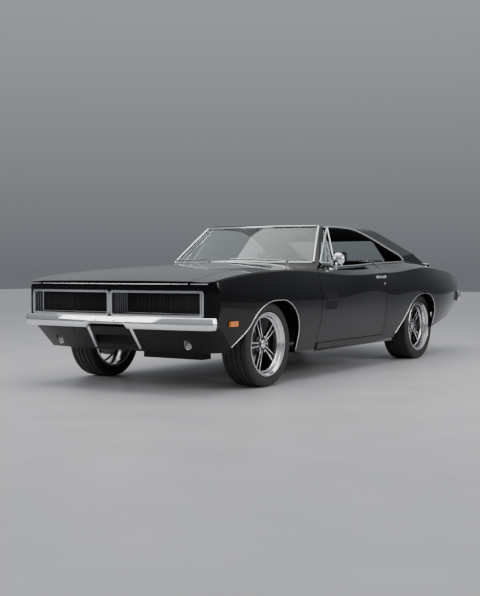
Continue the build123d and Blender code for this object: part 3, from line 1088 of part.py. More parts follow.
# ---------------------------------------------------------------- cabin
DASH_Y = (FIREWALL_Y + FLOOR_THICK, -610.0)
COLUMN_X = 370.0
WHEEL_CENTRE = (COLUMN_X, -330.0, 850.0)
COLUMN_TILT = 24.0
STEERING_R = 185.0
column_dir = (0, cos(radians(COLUMN_TILT)), sin(radians(COLUMN_TILT)))
column_foot = (COLUMN_X, WHEEL_CENTRE[1] - 300 * column_dir[1], WHEEL_CENTRE[2] - 300 * column_dir[2])
column_top = (COLUMN_X, WHEEL_CENTRE[1] - 50 * column_dir[1], WHEEL_CENTRE[2] - 50 * column_dir[2])
with BuildPart() as dashboard:
    add(prism_side([(DASH_Y[0], 660), (DASH_Y[1] - 40, 660), (DASH_Y[1], 720), (DASH_Y[1] - 10, 860),
                    (DASH_Y[1] - 50, 910), (DASH_Y[0], 915)], (-780, 780)))
    add(rod(column_foot, column_top, 24))
    add(cowl.part, mode=Mode.SUBTRACT)
    add(INNER, mode=Mode.INTERSECT)
save("dashboard", dashboard.part)

with BuildPart() as steering_wheel:
    with BuildSketch(Plane(origin=WHEEL_CENTRE, x_dir=(1, 0, 0), z_dir=column_dir)):
        Circle(45)
    extrude(amount=24, both=True)
    with BuildLine() as rim_line:
        CenterArc((0, 0), STEERING_R, 0, 360)
    wheel_plane = Plane(origin=WHEEL_CENTRE, x_dir=(1, 0, 0), z_dir=column_dir)
    with BuildPart(mode=Mode.PRIVATE) as rim_ring:
        Torus(STEERING_R, 13)
    add(wheel_plane.location * rim_ring.part)
    for spoke_angle in (0, 180, 270):
        with BuildPart(mode=Mode.PRIVATE) as bar:
            with BuildSketch(Plane.XY.offset(-5)):
                with Locations((STEERING_R / 2 + 15, 0)):
                    Rectangle(STEERING_R - 30, 30)
            extrude(amount=10)
        add(wheel_plane.location * Rot(0, 0, spoke_angle) * bar.part)
    with BuildSketch(wheel_plane.offset(-24)):
        Circle(16)
    extrude(amount=-25.5)
save("steering_wheel", steering_wheel.part)

SEAT_X = 402.0
SEAT_HALF = 245.0
with BuildPart() as bucket:
    add(prism_side([(-300, FLOOR_Z + 110), (-300, 500), (-260, 545), (150, 505), (300, 960),
                    (345, 985), (395, 965), (300, 560), (210, FLOOR_Z + 110)],
                   (SEAT_X - SEAT_HALF, SEAT_X + SEAT_HALF)))
    add(prism_side([(318, 960), (330, 1090), (372, 1112), (412, 1080), (394, 960)],
                   (SEAT_X - 120, SEAT_X + 120)))
    add(prism_side([(-250, FLOOR_Z + FLOOR_THICK), (-250, FLOOR_Z + 112), (180, FLOOR_Z + 112),
                    (180, FLOOR_Z + FLOOR_THICK)], (SEAT_X - 190, SEAT_X + 190)))
save_pair("front_seat", bucket.part)

with BuildPart() as rear_bench:
    bench_foot_z = REAR_FLOOR_Z + FLOOR_THICK
    add(prism_side([(600, 470), (590, 530), (625, 565), (900, 560), (1010, 905), (BACKREST_Y, 908),
                    (BACKREST_Y, bench_foot_z), (FLOOR_UP - 12, bench_foot_z), (690, 470)],
                   (-TUB_INNER_X, TUB_INNER_X)))
save("rear_bench", rear_bench.part)

# ---------------------------------------------------------------- on the doors
VENT_X_LOW = DOOR_INNER_X + 6.0
with BuildPart() as vent_window:
    lean = Plane(origin=(ROOF_FOOT_X - 2, 0, ROOF_FOOT_Z), x_dir=(0, 1, 0),
                 z_dir=(DRIP_Z - ROOF_FOOT_Z, 0, ROOF_FOOT_X - DRIP_X))
    with BuildSketch(lean):
        with BuildLine():
            Polyline((-640, -30), (-348, 352), (-312, 352), (-470, -30), close=True)
        make_face()
    extrude(amount=-22)
    with BuildSketch(lean.offset(-7)):
        with BuildLine():
            Polyline((-596, 10), (-352, 328), (-330, 328), (-482, 10), close=True)
        make_face()
    extrude(amount=-40, mode=Mode.SUBTRACT)
    with BuildSketch(lean):
        with BuildLine():
            Polyline((-596, 10), (-352, 328), (-330, 328), (-482, 10), close=True)
        make_face()
    extrude(amount=-7)
    add(prism_side([(-640, 900), (-640, 945), (-470, 945), (-470, 900)], (DOOR_INNER_X - 30, DOOR_INNER_X)))
    add(door.part, mode=Mode.SUBTRACT)
save_pair("vent_window", vent_window.part)

MIRROR = (898.0, -560.0, 1004.0)
MIRROR_R = 58.0
with BuildPart() as door_mirror:
    with BuildPart(mode=Mode.PRIVATE) as bowl:
        with BuildSketch(Plane.XY):
            with BuildLine():
                ThreePointArc((0, -34), (MIRROR_R * 0.72, -22), (MIRROR_R, 8))
                Polyline((MIRROR_R, 8), (MIRROR_R - 6, 12), (0, 12), (0, -34))
            make_face()
        revolve(axis=Axis.Y)
    add(Pos(*MIRROR) * Rot(0, 0, 12) * bowl.part)
    add(rod((878, -590, 890), (896, -566, MIRROR[2] - 30), 9))
    add(box((858, 892), (-640, -560), (880, 925)))
    add(door.part, mode=Mode.SUBTRACT)
save("door_mirror", door_mirror.part)
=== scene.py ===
import bpy
from math import pi, radians
from mathutils import Matrix, Vector
from mathutils.bvhtree import BVHTree


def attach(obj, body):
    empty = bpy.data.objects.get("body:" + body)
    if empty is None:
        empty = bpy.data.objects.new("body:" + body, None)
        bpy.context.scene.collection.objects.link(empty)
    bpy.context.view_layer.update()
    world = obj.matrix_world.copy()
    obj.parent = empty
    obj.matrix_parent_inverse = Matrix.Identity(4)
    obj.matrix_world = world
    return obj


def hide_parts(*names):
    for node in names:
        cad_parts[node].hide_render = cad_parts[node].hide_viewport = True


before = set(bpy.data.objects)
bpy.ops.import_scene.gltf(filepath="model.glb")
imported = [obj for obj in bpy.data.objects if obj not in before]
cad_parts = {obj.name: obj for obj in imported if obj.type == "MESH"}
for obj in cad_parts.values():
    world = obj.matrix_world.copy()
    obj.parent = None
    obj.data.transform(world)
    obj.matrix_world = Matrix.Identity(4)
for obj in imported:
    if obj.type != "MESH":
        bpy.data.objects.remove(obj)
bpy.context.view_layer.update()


# -------------------- camera
# A long lens stands low ahead of the driver's side front corner, at bumper height, so that the hood
# looks long and the roof low. The frame is taller than it is wide.
def made(add, name, location=(0.0, 0.0, 0.0), **settings):
    """A new object from one of Blender's add operators."""
    bpy.ops.object.select_all(action="DESELECT")
    add(location=location, **settings)
    bpy.context.object.name = name
    return bpy.context.object


camera = made(bpy.ops.object.camera_add, "Camera", location=(4.9905, -8.3602, 0.9157),
              rotation=(radians(88.366), radians(0.1), radians(33.233)))
camera.data.lens = 60.92
camera.data.sensor_width = 36.0
camera.data.sensor_fit = "AUTO"
camera.data.clip_end = 200.0
bpy.context.scene.camera = camera


# -------------------- studio
# A pale floor in a grey room that grows lighter upwards, lit by softboxes overhead, at the left and
# in front. The floor has the first finish: a Finish is one node tree, and a Wire is one output in it.
class Wire:
    """One output of a node tree. Sums on it lay Math nodes."""

    def __init__(self, finish, socket):
        self.finish = finish
        self.socket = socket

    def sum(self, operation, *others):
        return self.finish.maths(operation, self, *others)

    def zigzag(self):
        """0.5 at every whole number and 0 halfway between two."""
        return (self.sum("FRACT") - 0.5).sum("ABSOLUTE")

    def __add__(self, other):
        return self.sum("ADD", other)

    def __mul__(self, other):
        return self.sum("MULTIPLY", other)

    def __sub__(self, other):
        return self.sum("SUBTRACT", other)

    def __rsub__(self, other):
        return self.finish.maths("SUBTRACT", other, self)

    __radd__ = __add__
    __rmul__ = __mul__


class Finish:
    """A material: one shader, with a pattern laid over it in the object's own space."""

    def __init__(self, name, colour, roughness, **fixed):
        self.material = bpy.data.materials.new(name)
        self.material.use_nodes = True
        self.tree = self.material.node_tree
        self.shader = self.tree.nodes["Principled BSDF"]
        self.place = self.node("ShaderNodeTexCoord", {}, {}, "Object")
        for socket, value in {"Base_Color": (*colour, 1.0), "Roughness": roughness, **fixed}.items():
            self.set(socket.replace("_", " "), value)

    def feed(self, socket, value):
        if isinstance(value, Wire):
            self.tree.links.new(value.socket, socket)
        else:
            socket.default_value = value

    def set(self, socket, value):
        self.feed(self.shader.inputs[socket], value)

    def node(self, kind, settings, inputs, output=0):
        new = self.tree.nodes.new(kind)
        for key, value in settings.items():
            setattr(new, key, value)
        for key, value in inputs.items():
            self.feed(new.inputs[key], value)
        return Wire(self, new.outputs[output])

    def maths(self, operation, *values):
        return self.node("ShaderNodeMath", {"operation": operation}, dict(enumerate(values)))

    def noise(self, scale, detail=3.0, stretch=(1.0, 1.0, 1.0)):
        where = self.node("ShaderNodeVectorMath", {"operation": "MULTIPLY"}, {0: self.place, 1: stretch})
        return self.node("ShaderNodeTexNoise", {}, {"Vector": where, "Scale": scale, "Detail": detail})

    def axis(self, letter):
        return self.node("ShaderNodeSeparateXYZ", {}, {0: self.place}, letter)

    def ribs(self, letter, per_metre):
        """Ribs across an axis: 0.5 at a rib's edges and 0 in its middle."""
        return (self.axis(letter) * per_metre).zigzag()

    def fade(self, value, low, high):
        return self.node("ShaderNodeMapRange", {"interpolation_type": "SMOOTHSTEP"},
                         {"Value": value, "From Min": low, "From Max": high})

    def pattern(self, mask):
        """A mask as it is, or the noise that a tuple of settings stands for."""
        return self.noise(*mask) if isinstance(mask, tuple) else mask

    def tint(self, mask, below, above):
        colours = {0: self.pattern(mask), 6: (*below, 1.0), 7: (*above, 1.0)}
        self.set("Base Color", self.node("ShaderNodeMix", {"data_type": "RGBA"}, colours, 2))

    def gloss(self, roughness, mask, spread):
        self.set("Roughness", roughness + self.pattern(mask) * spread)

    def relief(self, mask, depth, strength=1.0):
        heights = {"Height": self.pattern(mask), "Distance": depth, "Strength": strength}
        self.set("Normal", self.node("ShaderNodeBump", {}, heights))

    def grain(self, mask, below, above, roughness, spread, depth):
        """One mask for colour, gloss and relief."""
        mask = self.pattern(mask)
        self.tint(mask, below, above)
        self.gloss(roughness, mask, spread)
        self.relief(mask, depth)


studio_floor = made(bpy.ops.mesh.primitive_plane_add, "studio_floor", size=60.0)
floor_finish = Finish("pale_floor", (0.62, 0.62, 0.63), 0.35)
floor_grain = floor_finish.noise(2.2, 6.0)
floor_finish.tint(floor_grain, (0.58, 0.58, 0.59), (0.66, 0.66, 0.67))
floor_finish.gloss(0.28, floor_grain, 0.2)
studio_floor.data.materials.append(floor_finish.material)

world = bpy.data.worlds.new("pale_room")
world.use_nodes = True
bpy.context.scene.world = world
room = world.node_tree.nodes
direction = room.new("ShaderNodeTexCoord")
height = room.new("ShaderNodeSeparateXYZ")
ramp = room.new("ShaderNodeValToRGB")
for source, target in [(direction.outputs["Generated"], height.inputs[0]),
                       (height.outputs["Z"], ramp.inputs["Fac"]),
                       (ramp.outputs["Color"], room["Background"].inputs["Color"])]:
    world.node_tree.links.new(source, target)
horizon, zenith = ramp.color_ramp.elements
horizon.color = (0.20, 0.21, 0.23, 1.0)
zenith.color = (0.75, 0.77, 0.80, 1.0)
zenith.position = 0.55
room["Background"].inputs["Strength"].default_value = 0.75
for name, place, size, watts, aim in [
        ("overhead_box", (0.0, -1.0, 6.0), (7.0, 5.0), 260.0, (0.0, 0.0, 0.6)),
        ("left_box", (8.0, 1.5, 3.2), (5.0, 3.0), 220.0, (0.0, 0.0, 0.7)),
        ("front_box", (-5.0, -8.0, 3.6), (4.0, 3.0), 160.0, (0.0, -1.0, 0.6))]:
    lamp = made(bpy.ops.object.light_add, name, type="AREA", location=place)
    lamp.data.shape = "RECTANGLE"
    lamp.data.size, lamp.data.size_y = size
    lamp.data.energy = watts
    lamp.rotation_euler = (Vector(aim) - Vector(place)).to_track_quat("-Z", "Y").to_euler()


# -------------------- painted sheet metal
# Pressed steel panels in deep black enamel under clear coat, polished, with faint orange peel and a
# little road dust low down. Each stamping is smooth over its curves and sharp at its folds.
black_enamel = Finish("black_enamel", (0.003, 0.003, 0.0035), 0.2, Coat_Weight=1.0, Coat_Roughness=0.02,
                      Coat_IOR=1.33, Specular_IOR_Level=0.05)
low_on_body = 1.0 - black_enamel.fade(black_enamel.axis("Z"), 0.22, 0.55)
dust = low_on_body * black_enamel.fade(black_enamel.noise(9.0, 8.0), 0.35, 0.75)
black_enamel.tint(dust * 0.3, (0.003, 0.003, 0.0035), (0.035, 0.033, 0.030))
black_enamel.set("Roughness", 0.1 + black_enamel.noise(3.0, 4.0) * 0.06 + dust * 0.25)
black_enamel.relief((420.0, 2.0), 0.00004)


def picked(*pieces):
    """Selects some pieces alone and makes the first one active."""
    bpy.ops.object.select_all(action="DESELECT")
    for piece in pieces:
        piece.select_set(True)
    bpy.context.view_layer.objects.active = pieces[0]


def edited(piece, *steps):
    """Runs mesh operators, each with its settings, on the whole of one piece."""
    picked(piece)
    bpy.ops.object.mode_set(mode="EDIT")
    for operator, settings in steps:
        bpy.ops.mesh.select_all(action="SELECT")
        operator(**settings)
    bpy.ops.object.mode_set(mode="OBJECT")
    return piece


def mounted(piece, finish, body="body"):
    """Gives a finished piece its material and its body."""
    piece.data.materials.clear()
    for one in finish if isinstance(finish, list) else [finish]:
        piece.data.materials.append(one.material)
    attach(piece, body)
    return piece


def dress_panel(node, finish, body="body"):
    """The stamping of a CAD panel with its facets joined and its surface normals kept, in its own finish."""
    panel = bpy.data.objects.new(node + "_skin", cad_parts[node].data.copy())
    bpy.context.scene.collection.objects.link(panel)
    kept = panel.data.attributes.new("kept_normal", "FLOAT_VECTOR", "CORNER")
    for corner, normal in zip(kept.data, panel.data.corner_normals):
        corner.vector = normal.vector
    edited(panel, (bpy.ops.mesh.remove_doubles, {"threshold": 0.00001}))
    bpy.ops.object.shade_smooth()
    kept = panel.data.attributes["kept_normal"]
    panel.data.normals_split_custom_set([corner.vector[:] for corner in kept.data])
    panel.data.attributes.remove(panel.data.attributes["kept_normal"])
    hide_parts(node)
    return mounted(panel, finish, body)


for node in ("fender_left", "fender_right", "quarter_left", "quarter_right", "roof", "cowl", "deck_panel",
             "tail_panel", "fascia", "front_valance"):
    dress_panel(node, black_enamel)
for node in ("hood", "trunk_lid", "door_left", "door_right"):
    dress_panel(node, black_enamel, node)


# -------------------- tyres
# Wide low-profile road tyres, black rubber with a bare sidewall: a rim rib at the bead, a bulged
# wall, fine ribs at the shoulder and four grooves round the tread. Each is turned about its axle.
def turned(name, profile, axle, steps):
    """A ring turned from a closed profile of (x, radius) points about an axle of (sign, y, z)."""
    sign, axle_y, axle_z = axle
    ring = made(bpy.ops.mesh.primitive_circle_add, name, vertices=len(profile), fill_type="NOTHING")
    for vertex, (x, radius) in zip(ring.data.vertices, profile):
        vertex.co = (sign * x, axle_y, axle_z + radius)
    edited(ring, (bpy.ops.mesh.spin, {"steps": steps, "angle": 2 * pi, "center": (0.0, axle_y, axle_z),
                                      "axis": (1.0, 0.0, 0.0)}),
           (bpy.ops.mesh.remove_doubles, {"threshold": 0.00002}),
           (bpy.ops.mesh.normals_make_consistent, {"inside": False}))
    bpy.ops.object.shade_smooth_by_angle(angle=radians(28))
    return ring


def shifted(x, profile):
    """A profile moved along the axle."""
    return [(x + along, radius) for along, radius in profile]


# Each axle: its end, half track, y and z, the tyres' width, the spokes' depth in the rim, the discs' x.
axles = [("front", 0.774, -1.696, 0.332, 0.245, 0.053, 0.734),
         ("rear", 0.737, 1.276, 0.336, 0.275, 0.080, 0.646)]
sides = (("left", 1), ("right", -1))
for end, track, axle_y, axle_z, width, recess, disc_x in axles:
    rubber = Finish("tyre_rubber_" + end, (0.018, 0.018, 0.018), 0.7)
    along = rubber.axis("Y") - axle_y
    up = rubber.axis("Z") - axle_z
    radius = (along * along + up * up).sum("SQRT")
    turn = up.sum("ARCTAN2", along)
    across = rubber.axis("X").sum("ABSOLUTE") - track
    shoulder = rubber.fade(radius, axle_z - 0.028, axle_z - 0.022)
    sipes = (turn * (74 / (2 * pi)) + across * 9.0).zigzag()
    cuts = rubber.fade(sipes, 0.40, 0.46) * shoulder
    wall_ribs = (turn * (220 / (2 * pi))).zigzag()
    rib_band = rubber.fade(radius, 0.300, 0.303) * (1.0 - rubber.fade(radius, 0.309, 0.312))
    rings = (radius * 130.0).zigzag()
    ring_band = rubber.fade(radius, 0.262, 0.264) * (1.0 - rubber.fade(radius, 0.272, 0.274))
    scuff = rubber.noise(38.0, 8.0)
    rubber.tint(scuff * 0.5 + shoulder * 0.25, (0.012, 0.012, 0.012), (0.05, 0.049, 0.047))
    rubber.gloss(0.52, scuff, 0.3)
    rubber.relief(1.0 - cuts + wall_ribs * rib_band * 0.35 + rings * ring_band * 0.3 + scuff * 0.05,
                  0.004, 0.8)

    half = width / 2
    wall = shifted(half, [(-0.029, 0.2405), (-0.0285, 0.2525), (-0.012, 0.2555), (-0.006, 0.2600),
                          (-0.006, 0.2640), (-0.0035, 0.2760), (-0.0008, 0.2900), (-0.0015, 0.3020),
                          (-0.005, 0.3120), (-0.010, axle_z - 0.012), (-0.017, axle_z - 0.0045),
                          (-0.026, axle_z - 0.0015)])
    tread = []
    groove_depth = 0.007
    for groove in (1.55, 0.5, -0.5, -1.55):
        middle = groove * (half - 0.034) / 2
        crown = axle_z - 0.0012 * abs(groove)
        tread += [(middle + 0.0055, crown), (middle + 0.004, crown - groove_depth),
                  (middle - 0.004, crown - groove_depth), (middle - 0.0055, crown)]
    liner = half - 0.012
    profile = wall + tread + [(-x, radius) for x, radius in reversed(wall)]
    profile += [(-liner, 0.262), (-liner, axle_z - 0.022), (liner, axle_z - 0.022), (liner, 0.262)]
    for side, sign in sides:
        tyre = turned(f"road_tyre_{end}_{side}", shifted(track, profile), (sign, axle_y, axle_z), 120)
        mounted(tyre, rubber, f"wheel_{end}_{side}")
        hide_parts(f"tyre_{end}_{side}")


# -------------------- alloy wheels
# One-piece cast wheels with a deep lip turned in two steps and polished. Five spokes, each split into
# two ribs with machined faces over a black web, five open lugs and a bare domed cap.
polished_alloy = Finish("polished_alloy", (0.78, 0.78, 0.79), 0.12, Metallic=1.0)
lathe_marks = polished_alloy.noise(900.0, 2.0, (1.0, 0.02, 0.02))
polished_alloy.set("Roughness", 0.09 + lathe_marks * 0.08 + polished_alloy.noise(6.0, 4.0) * 0.08)
polished_alloy.tint((14.0, 5.0), (0.66, 0.66, 0.67), (0.82, 0.82, 0.83))
polished_alloy.relief(lathe_marks, 0.00003)
black_alloy = Finish("black_alloy", (0.02, 0.02, 0.022), 0.35, Metallic=0.6, Coat_Weight=0.4,
                     Coat_Roughness=0.15)
black_alloy.grain((260.0, 3.0), (0.012, 0.012, 0.014), (0.035, 0.035, 0.038), 0.28, 0.2, 0.00015)
brake_iron = Finish("brake_iron", (0.3, 0.29, 0.28), 0.4, Metallic=0.9)
brake_iron.grain((160.0, 3.0, (6.0, 1.0, 1.0)), (0.2, 0.19, 0.185), (0.42, 0.41, 0.4), 0.3, 0.25, 0.0001)


def block(name, one, other):
    """A bar between two opposite corners, edges still sharp."""
    bar = made(bpy.ops.mesh.primitive_cube_add, name, size=1.0)
    for vertex in bar.data.vertices:
        vertex.co = [(min if vertex.co[i] < 0 else max)(one[i], other[i]) for i in range(3)]
    return bar


def eased(piece, width, segments=2):
    """Rounds a piece's folds and shades it smooth."""
    picked(piece)
    rounding = piece.modifiers.new("rounding", "BEVEL")
    rounding.width = width
    rounding.segments = segments
    rounding.limit_method = "ANGLE"
    rounding.angle_limit = radians(30)
    bpy.ops.object.modifier_apply(modifier=rounding.name)
    bpy.ops.object.shade_smooth_by_angle(angle=radians(35))
    return piece


def placed(add, name, **settings):
    """A smooth primitive set in its place."""
    piece = made(add, name, **settings)
    bpy.ops.object.transform_apply(location=True, rotation=True, scale=True)
    bpy.ops.object.shade_smooth()
    return piece


def joined(pieces, name):
    """Several meshes made one."""
    picked(*pieces)
    bpy.ops.object.join()
    pieces[0].name = name
    return pieces[0]


def round_axle(piece, count, axle_y, axle_z, first):
    """Copies of a piece set evenly round an axle from a first angle, made one."""
    hub = Matrix.Translation((0.0, axle_y, axle_z))
    copies = []
    for index in range(count):
        copy = bpy.data.objects.new(piece.name, piece.data.copy())
        bpy.context.scene.collection.objects.link(copy)
        copy.data.transform(hub @ Matrix.Rotation(first + 2 * pi * index / count, 4, "X") @ hub.inverted())
        copies.append(copy)
    name = piece.name
    bpy.data.objects.remove(piece)
    return joined(copies, name)


def outward(piece):
    """Turns every face of a closed piece outwards."""
    return edited(piece, (bpy.ops.mesh.normals_make_consistent, {"inside": False}))


for end, track, axle_y, axle_z, width, recess, disc_x, side, sign in [
        (*axle, *which) for axle in axles for which in sides]:
    body = f"wheel_{end}_{side}"
    axle = (sign, axle_y, axle_z)
    lip = track + width / 2 - 0.008
    face = lip - recess
    inner = track - width / 2 + 0.012
    rim_line = [*shifted(inner, [(0.0, 0.246), (0.0, 0.232), (0.010, 0.226)]),
                *shifted(face, [(-0.028, 0.218), (-0.012, 0.2065), (0.004, 0.2065), (0.0075, 0.2085),
                                (0.0105, 0.2155), (0.014, 0.2185)]),
                *shifted(lip, [(-0.026, 0.2225), (-0.022, 0.2245), (-0.0195, 0.2305), (-0.012, 0.2365),
                               (-0.004, 0.2400), (-0.0005, 0.2440), (0.0, 0.2490), (-0.002, 0.2518),
                               (-0.006, 0.2520), (-0.0135, 0.2515), (-0.016, 0.2400)]),
                *shifted(inner, [(0.014, 0.2400), (0.012, 0.2515), (0.002, 0.2515)])]
    rim = turned(f"rim_{end}_{side}", rim_line, axle, 128)
    mounted(rim, polished_alloy, body)
    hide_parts(f"wheel_{end}_{side}")

    spoke_root, spoke_end, spoke_depth = 0.052, 0.2085, 0.026
    ribs = []
    for edge in (1, -1):
        rib = block("rib", (face - spoke_depth, -0.5, 0.0), (face, 0.5, 1.0))
        for vertex in rib.data.vertices:
            far = vertex.co.z > 0.5
            middle = edge * (0.0245 if far else 0.0115)
            flank = 0.0058 if vertex.co.x > face - 0.01 else 0.0095
            vertex.co.y = axle_y + middle + (flank if vertex.co.y > 0 else -flank)
            vertex.co.z = axle_z + (spoke_end if far else spoke_root)
            vertex.co.x = sign * (vertex.co.x - (0.004 if far else 0.0))
        ribs.append(eased(outward(rib), 0.0022))
    web = block("web", (face - spoke_depth, axle_y - 0.024, axle_z + 0.05),
                (face - 0.015, axle_y + 0.024, axle_z + 0.209))
    for vertex in web.data.vertices:
        if vertex.co.z < axle_z + 0.1:
            vertex.co.y = axle_y + (vertex.co.y - axle_y) * 0.5
        vertex.co.x *= sign
    spokes = joined([*ribs, outward(web)], f"spokes_{end}_{side}")
    spokes = round_axle(spokes, 5, axle_y, axle_z, radians(18.0))
    mounted(spokes, [black_alloy, polished_alloy], body)
    for polygon in spokes.data.polygons:
        machined = polygon.normal.x * sign > 0.75 and abs(polygon.center.x) > face - 0.0085
        polygon.material_index = 1 if machined else 0

    hub_line = shifted(face, [(-0.034, 0.0), (-0.034, 0.078), (-0.020, 0.080), (-0.012, 0.076),
                              (-0.009, 0.068), (-0.009, 0.060), (-0.004, 0.050), (-0.001, 0.044),
                              (-0.001, 0.0)])
    mounted(turned(f"hub_{end}_{side}", hub_line, axle, 64), black_alloy, body)
    cap_line = shifted(face, [(-0.002, 0.0), (-0.002, 0.0345), (0.006, 0.0345), (0.0085, 0.0335),
                              (0.0095, 0.031), (0.0088, 0.0285), (0.0105, 0.024), (0.0125, 0.012),
                              (0.013, 0.0)])
    mounted(turned(f"hub_cap_{end}_{side}", cap_line, axle, 64), polished_alloy, body)

    lug = placed(bpy.ops.mesh.primitive_cylinder_add, f"lug_nuts_{end}_{side}", vertices=6, radius=0.0105,
                 depth=0.020, location=(sign * (face - 0.002), axle_y, axle_z + 0.0572),
                 rotation=(0.0, radians(90), 0.0))
    lug = round_axle(eased(lug, 0.0022), 5, axle_y, axle_z, radians(54.0))
    mounted(lug, polished_alloy, body)

    rotor_line = [*shifted(disc_x, [(0.0, 0.070), (0.0, 0.150), (0.009, 0.150), (0.009, 0.144),
                                    (0.013, 0.144), (0.013, 0.150), (0.022, 0.150), (0.022, 0.092),
                                    (0.030, 0.088)]),
                  *shifted(face, [(-0.034, 0.074), (-0.034, 0.0)]),
                  *shifted(disc_x, [(0.05, 0.0), (0.05, 0.024), (0.0, 0.024)])]
    mounted(turned(f"brake_disc_{end}_{side}", rotor_line, axle, 96), brake_iron, body)


# -------------------- bright bumpers and grille surround
# Pressed steel bars in heavy chrome, ridged along their length, bolted to the rails by arms and two
# round stays. The surround is chromed too; its recess is black, with upright ribs in the slanting walls
# and a painted highlight along their crests.
bright_chrome = Finish("bright_chrome", (0.86, 0.87, 0.88), 0.05, Metallic=1.0)
haze = bright_chrome.noise(26.0, 6.0)
bright_chrome.gloss(0.025, haze, 0.06)
bright_chrome.tint(haze, (0.80, 0.81, 0.83), (0.90, 0.905, 0.91))
bright_chrome.relief((5.0, 2.0), 0.0004, 0.4)
surfaces = {}


def landed(nodes, start, direction, lift=0.0):
    """Where a straight line first meets one of some CAD nodes, lifted back along the line."""
    start = Vector(start)
    towards = Vector(direction).normalized()
    nearest = None
    for node in nodes:
        if node not in surfaces:
            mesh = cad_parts[node].data
            surfaces[node] = BVHTree.FromPolygons([vertex.co for vertex in mesh.vertices],
                                                  [polygon.vertices[:] for polygon in mesh.polygons])
        place = surfaces[node].ray_cast(start, towards)[0]
        if place and (nearest is None or (place - start).length < (nearest - start).length):
            nearest = place
    return nearest - towards * lift if nearest else None


def barrel(name, start, end, radius, vertices=40):
    """A round bar between two points."""
    start, end = Vector(start), Vector(end)
    run = end - start
    bar = made(bpy.ops.mesh.primitive_cylinder_add, name, vertices=vertices, radius=radius, depth=run.length)
    bar.data.transform(Matrix.Translation((start + end) / 2)
                       @ run.to_track_quat("Z", "Y").to_matrix().to_4x4())
    return bar


def arc(start, middle, end, count):
    """Points along the circle through three points of a plan."""
    (ax, ay), (bx, by), (cx, cy) = start, middle, end
    scale = 2 * (ax * (by - cy) + bx * (cy - ay) + cx * (ay - by))
    a, b, c = ax * ax + ay * ay, bx * bx + by * by, cx * cx + cy * cy
    centre = Vector(((a * (by - cy) + b * (cy - ay) + c * (ay - by)) / scale,
                     (a * (cx - bx) + b * (ax - cx) + c * (bx - ax)) / scale))
    first, last = Vector(start) - centre, Vector(end) - centre
    turn = last.angle_signed(first)
    return [centre + Matrix.Rotation(turn * index / count, 2) @ first for index in range(count + 1)]


def pressed_bar(name, crown, corner, bend, tip, foot, height, notch):
    """A ridged bumper bar: one profile carried along its plan, with its lower edge raised in a notch."""
    side = arc(corner, bend, tip, 14)
    middle = arc((-corner[0], corner[1]), (0.0, crown), corner, 120)
    plan = [Vector((-place.x, place.y)) for place in reversed(side[1:])] + middle + side[1:]
    for smoothing in range(12):
        eased_places = [(before + place * 2 + after) / 4
                        for before, place, after in zip(plan, plan[1:], plan[2:])]
        plan = [plan[0], *eased_places, plan[-1]]
    inner_side = -1.0 if crown > 0.0 else 1.0
    profile = [(0.022, 1.0), (0.013, 0.985), (0.0085, 0.94), (0.005, 0.80), (0.002, 0.62), (0.0, 0.50),
               (0.0, 0.42), (0.004, 0.27), (0.009, 0.12), (0.015, 0.03), (0.023, 0.0)]
    ridge, notch_rise, notch_fade = 0.54, 0.60, 0.016
    vertices, faces = [], []
    for index, place in enumerate(plan):
        run = plan[min(index + 1, len(plan) - 1)] - plan[max(index - 1, 0)]
        inward = Vector((-run.y, run.x)).normalized() * inner_side
        from_tip = min(index, len(plan) - 1 - index)
        back = 0.030 + 0.010 * min(1.0, from_tip / 20)
        raised = min(1.0, max(0.0, (notch - abs(place.x)) / notch_fade)) if notch else 0.0
        for depth, level in [(back, 0.97), *profile, (back, 0.03)]:
            if level <= ridge:
                level = ridge - (ridge - level) * (1.0 - notch_rise * raised)
            spot = place + inward * depth
            vertices.append((spot.x, spot.y, foot + height * level))
    ring = len(profile) + 2
    for first in range(0, (len(plan) - 1) * ring, ring):
        for step in range(ring):
            after = (step + 1) % ring
            faces.append((first + step, first + ring + step, first + ring + after, first + after))
    faces += [tuple(range(ring)), tuple(range((len(plan) - 1) * ring, len(plan) * ring))]
    mesh = bpy.data.meshes.new(name)
    mesh.from_pydata(vertices, [], faces)
    bar = bpy.data.objects.new(name, mesh)
    bpy.context.scene.collection.objects.link(bar)
    outward(bar)
    bpy.ops.object.shade_smooth_by_angle(angle=radians(32))
    return bar


for end, crown, corner, bend, tip, foot, height, notch in [
        ("front", -2.600, (0.854, -2.536), (0.9075, -2.5115), (0.925, -2.455), 0.475, 0.093, 0.194),
        ("rear", 2.5985, (0.802, 2.5865), (0.854, 2.490), (0.869, 2.360), 0.556, 0.112, 0.0)]:
    bar = pressed_bar(f"{end}_bumper_bar", crown, corner, bend, tip, foot, height, notch)
    mounted(bar, bright_chrome)
    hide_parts(f"{end}_bumper")
guards = [eased(barrel("guard", (sign * 0.206, -2.566, 0.512), (sign * 0.217, -2.438, 0.322), 0.013), 0.004)
          for side, sign in sides]
mounted(joined(guards, "bumper_guards"), bright_chrome)
bolt_x, bolt_y = 0.089, 2.5995
bolts = [eased(barrel("bolt", (sign * bolt_x, y, z), (sign * bolt_x, y * 0.9985, z), 0.0075, 6), 0.001)
         for side, sign in sides for y, z in ((-bolt_y, 0.536), (bolt_y, 0.612))]
mounted(joined(bolts, "plate_bolts"), bright_chrome)
arms = []
for side, sign in sides:
    for x_low, x_high, y_low, y_high, z_low, z_high in [
            (0.408, 0.452, -2.564, -2.480, 0.480, 0.500), (0.408, 0.452, -2.480, -2.325, 0.420, 0.500),
            (0.400, 0.444, 2.535, 2.566, 0.590, 0.634)]:
        arms.append(block("arm", (sign * x_low, y_low, z_low), (sign * x_high, y_high, z_high)))
mounted(joined(arms, "bumper_arms"), black_enamel)
ahead, rearward = -2.9, (0.0, 1.0, 0.0)
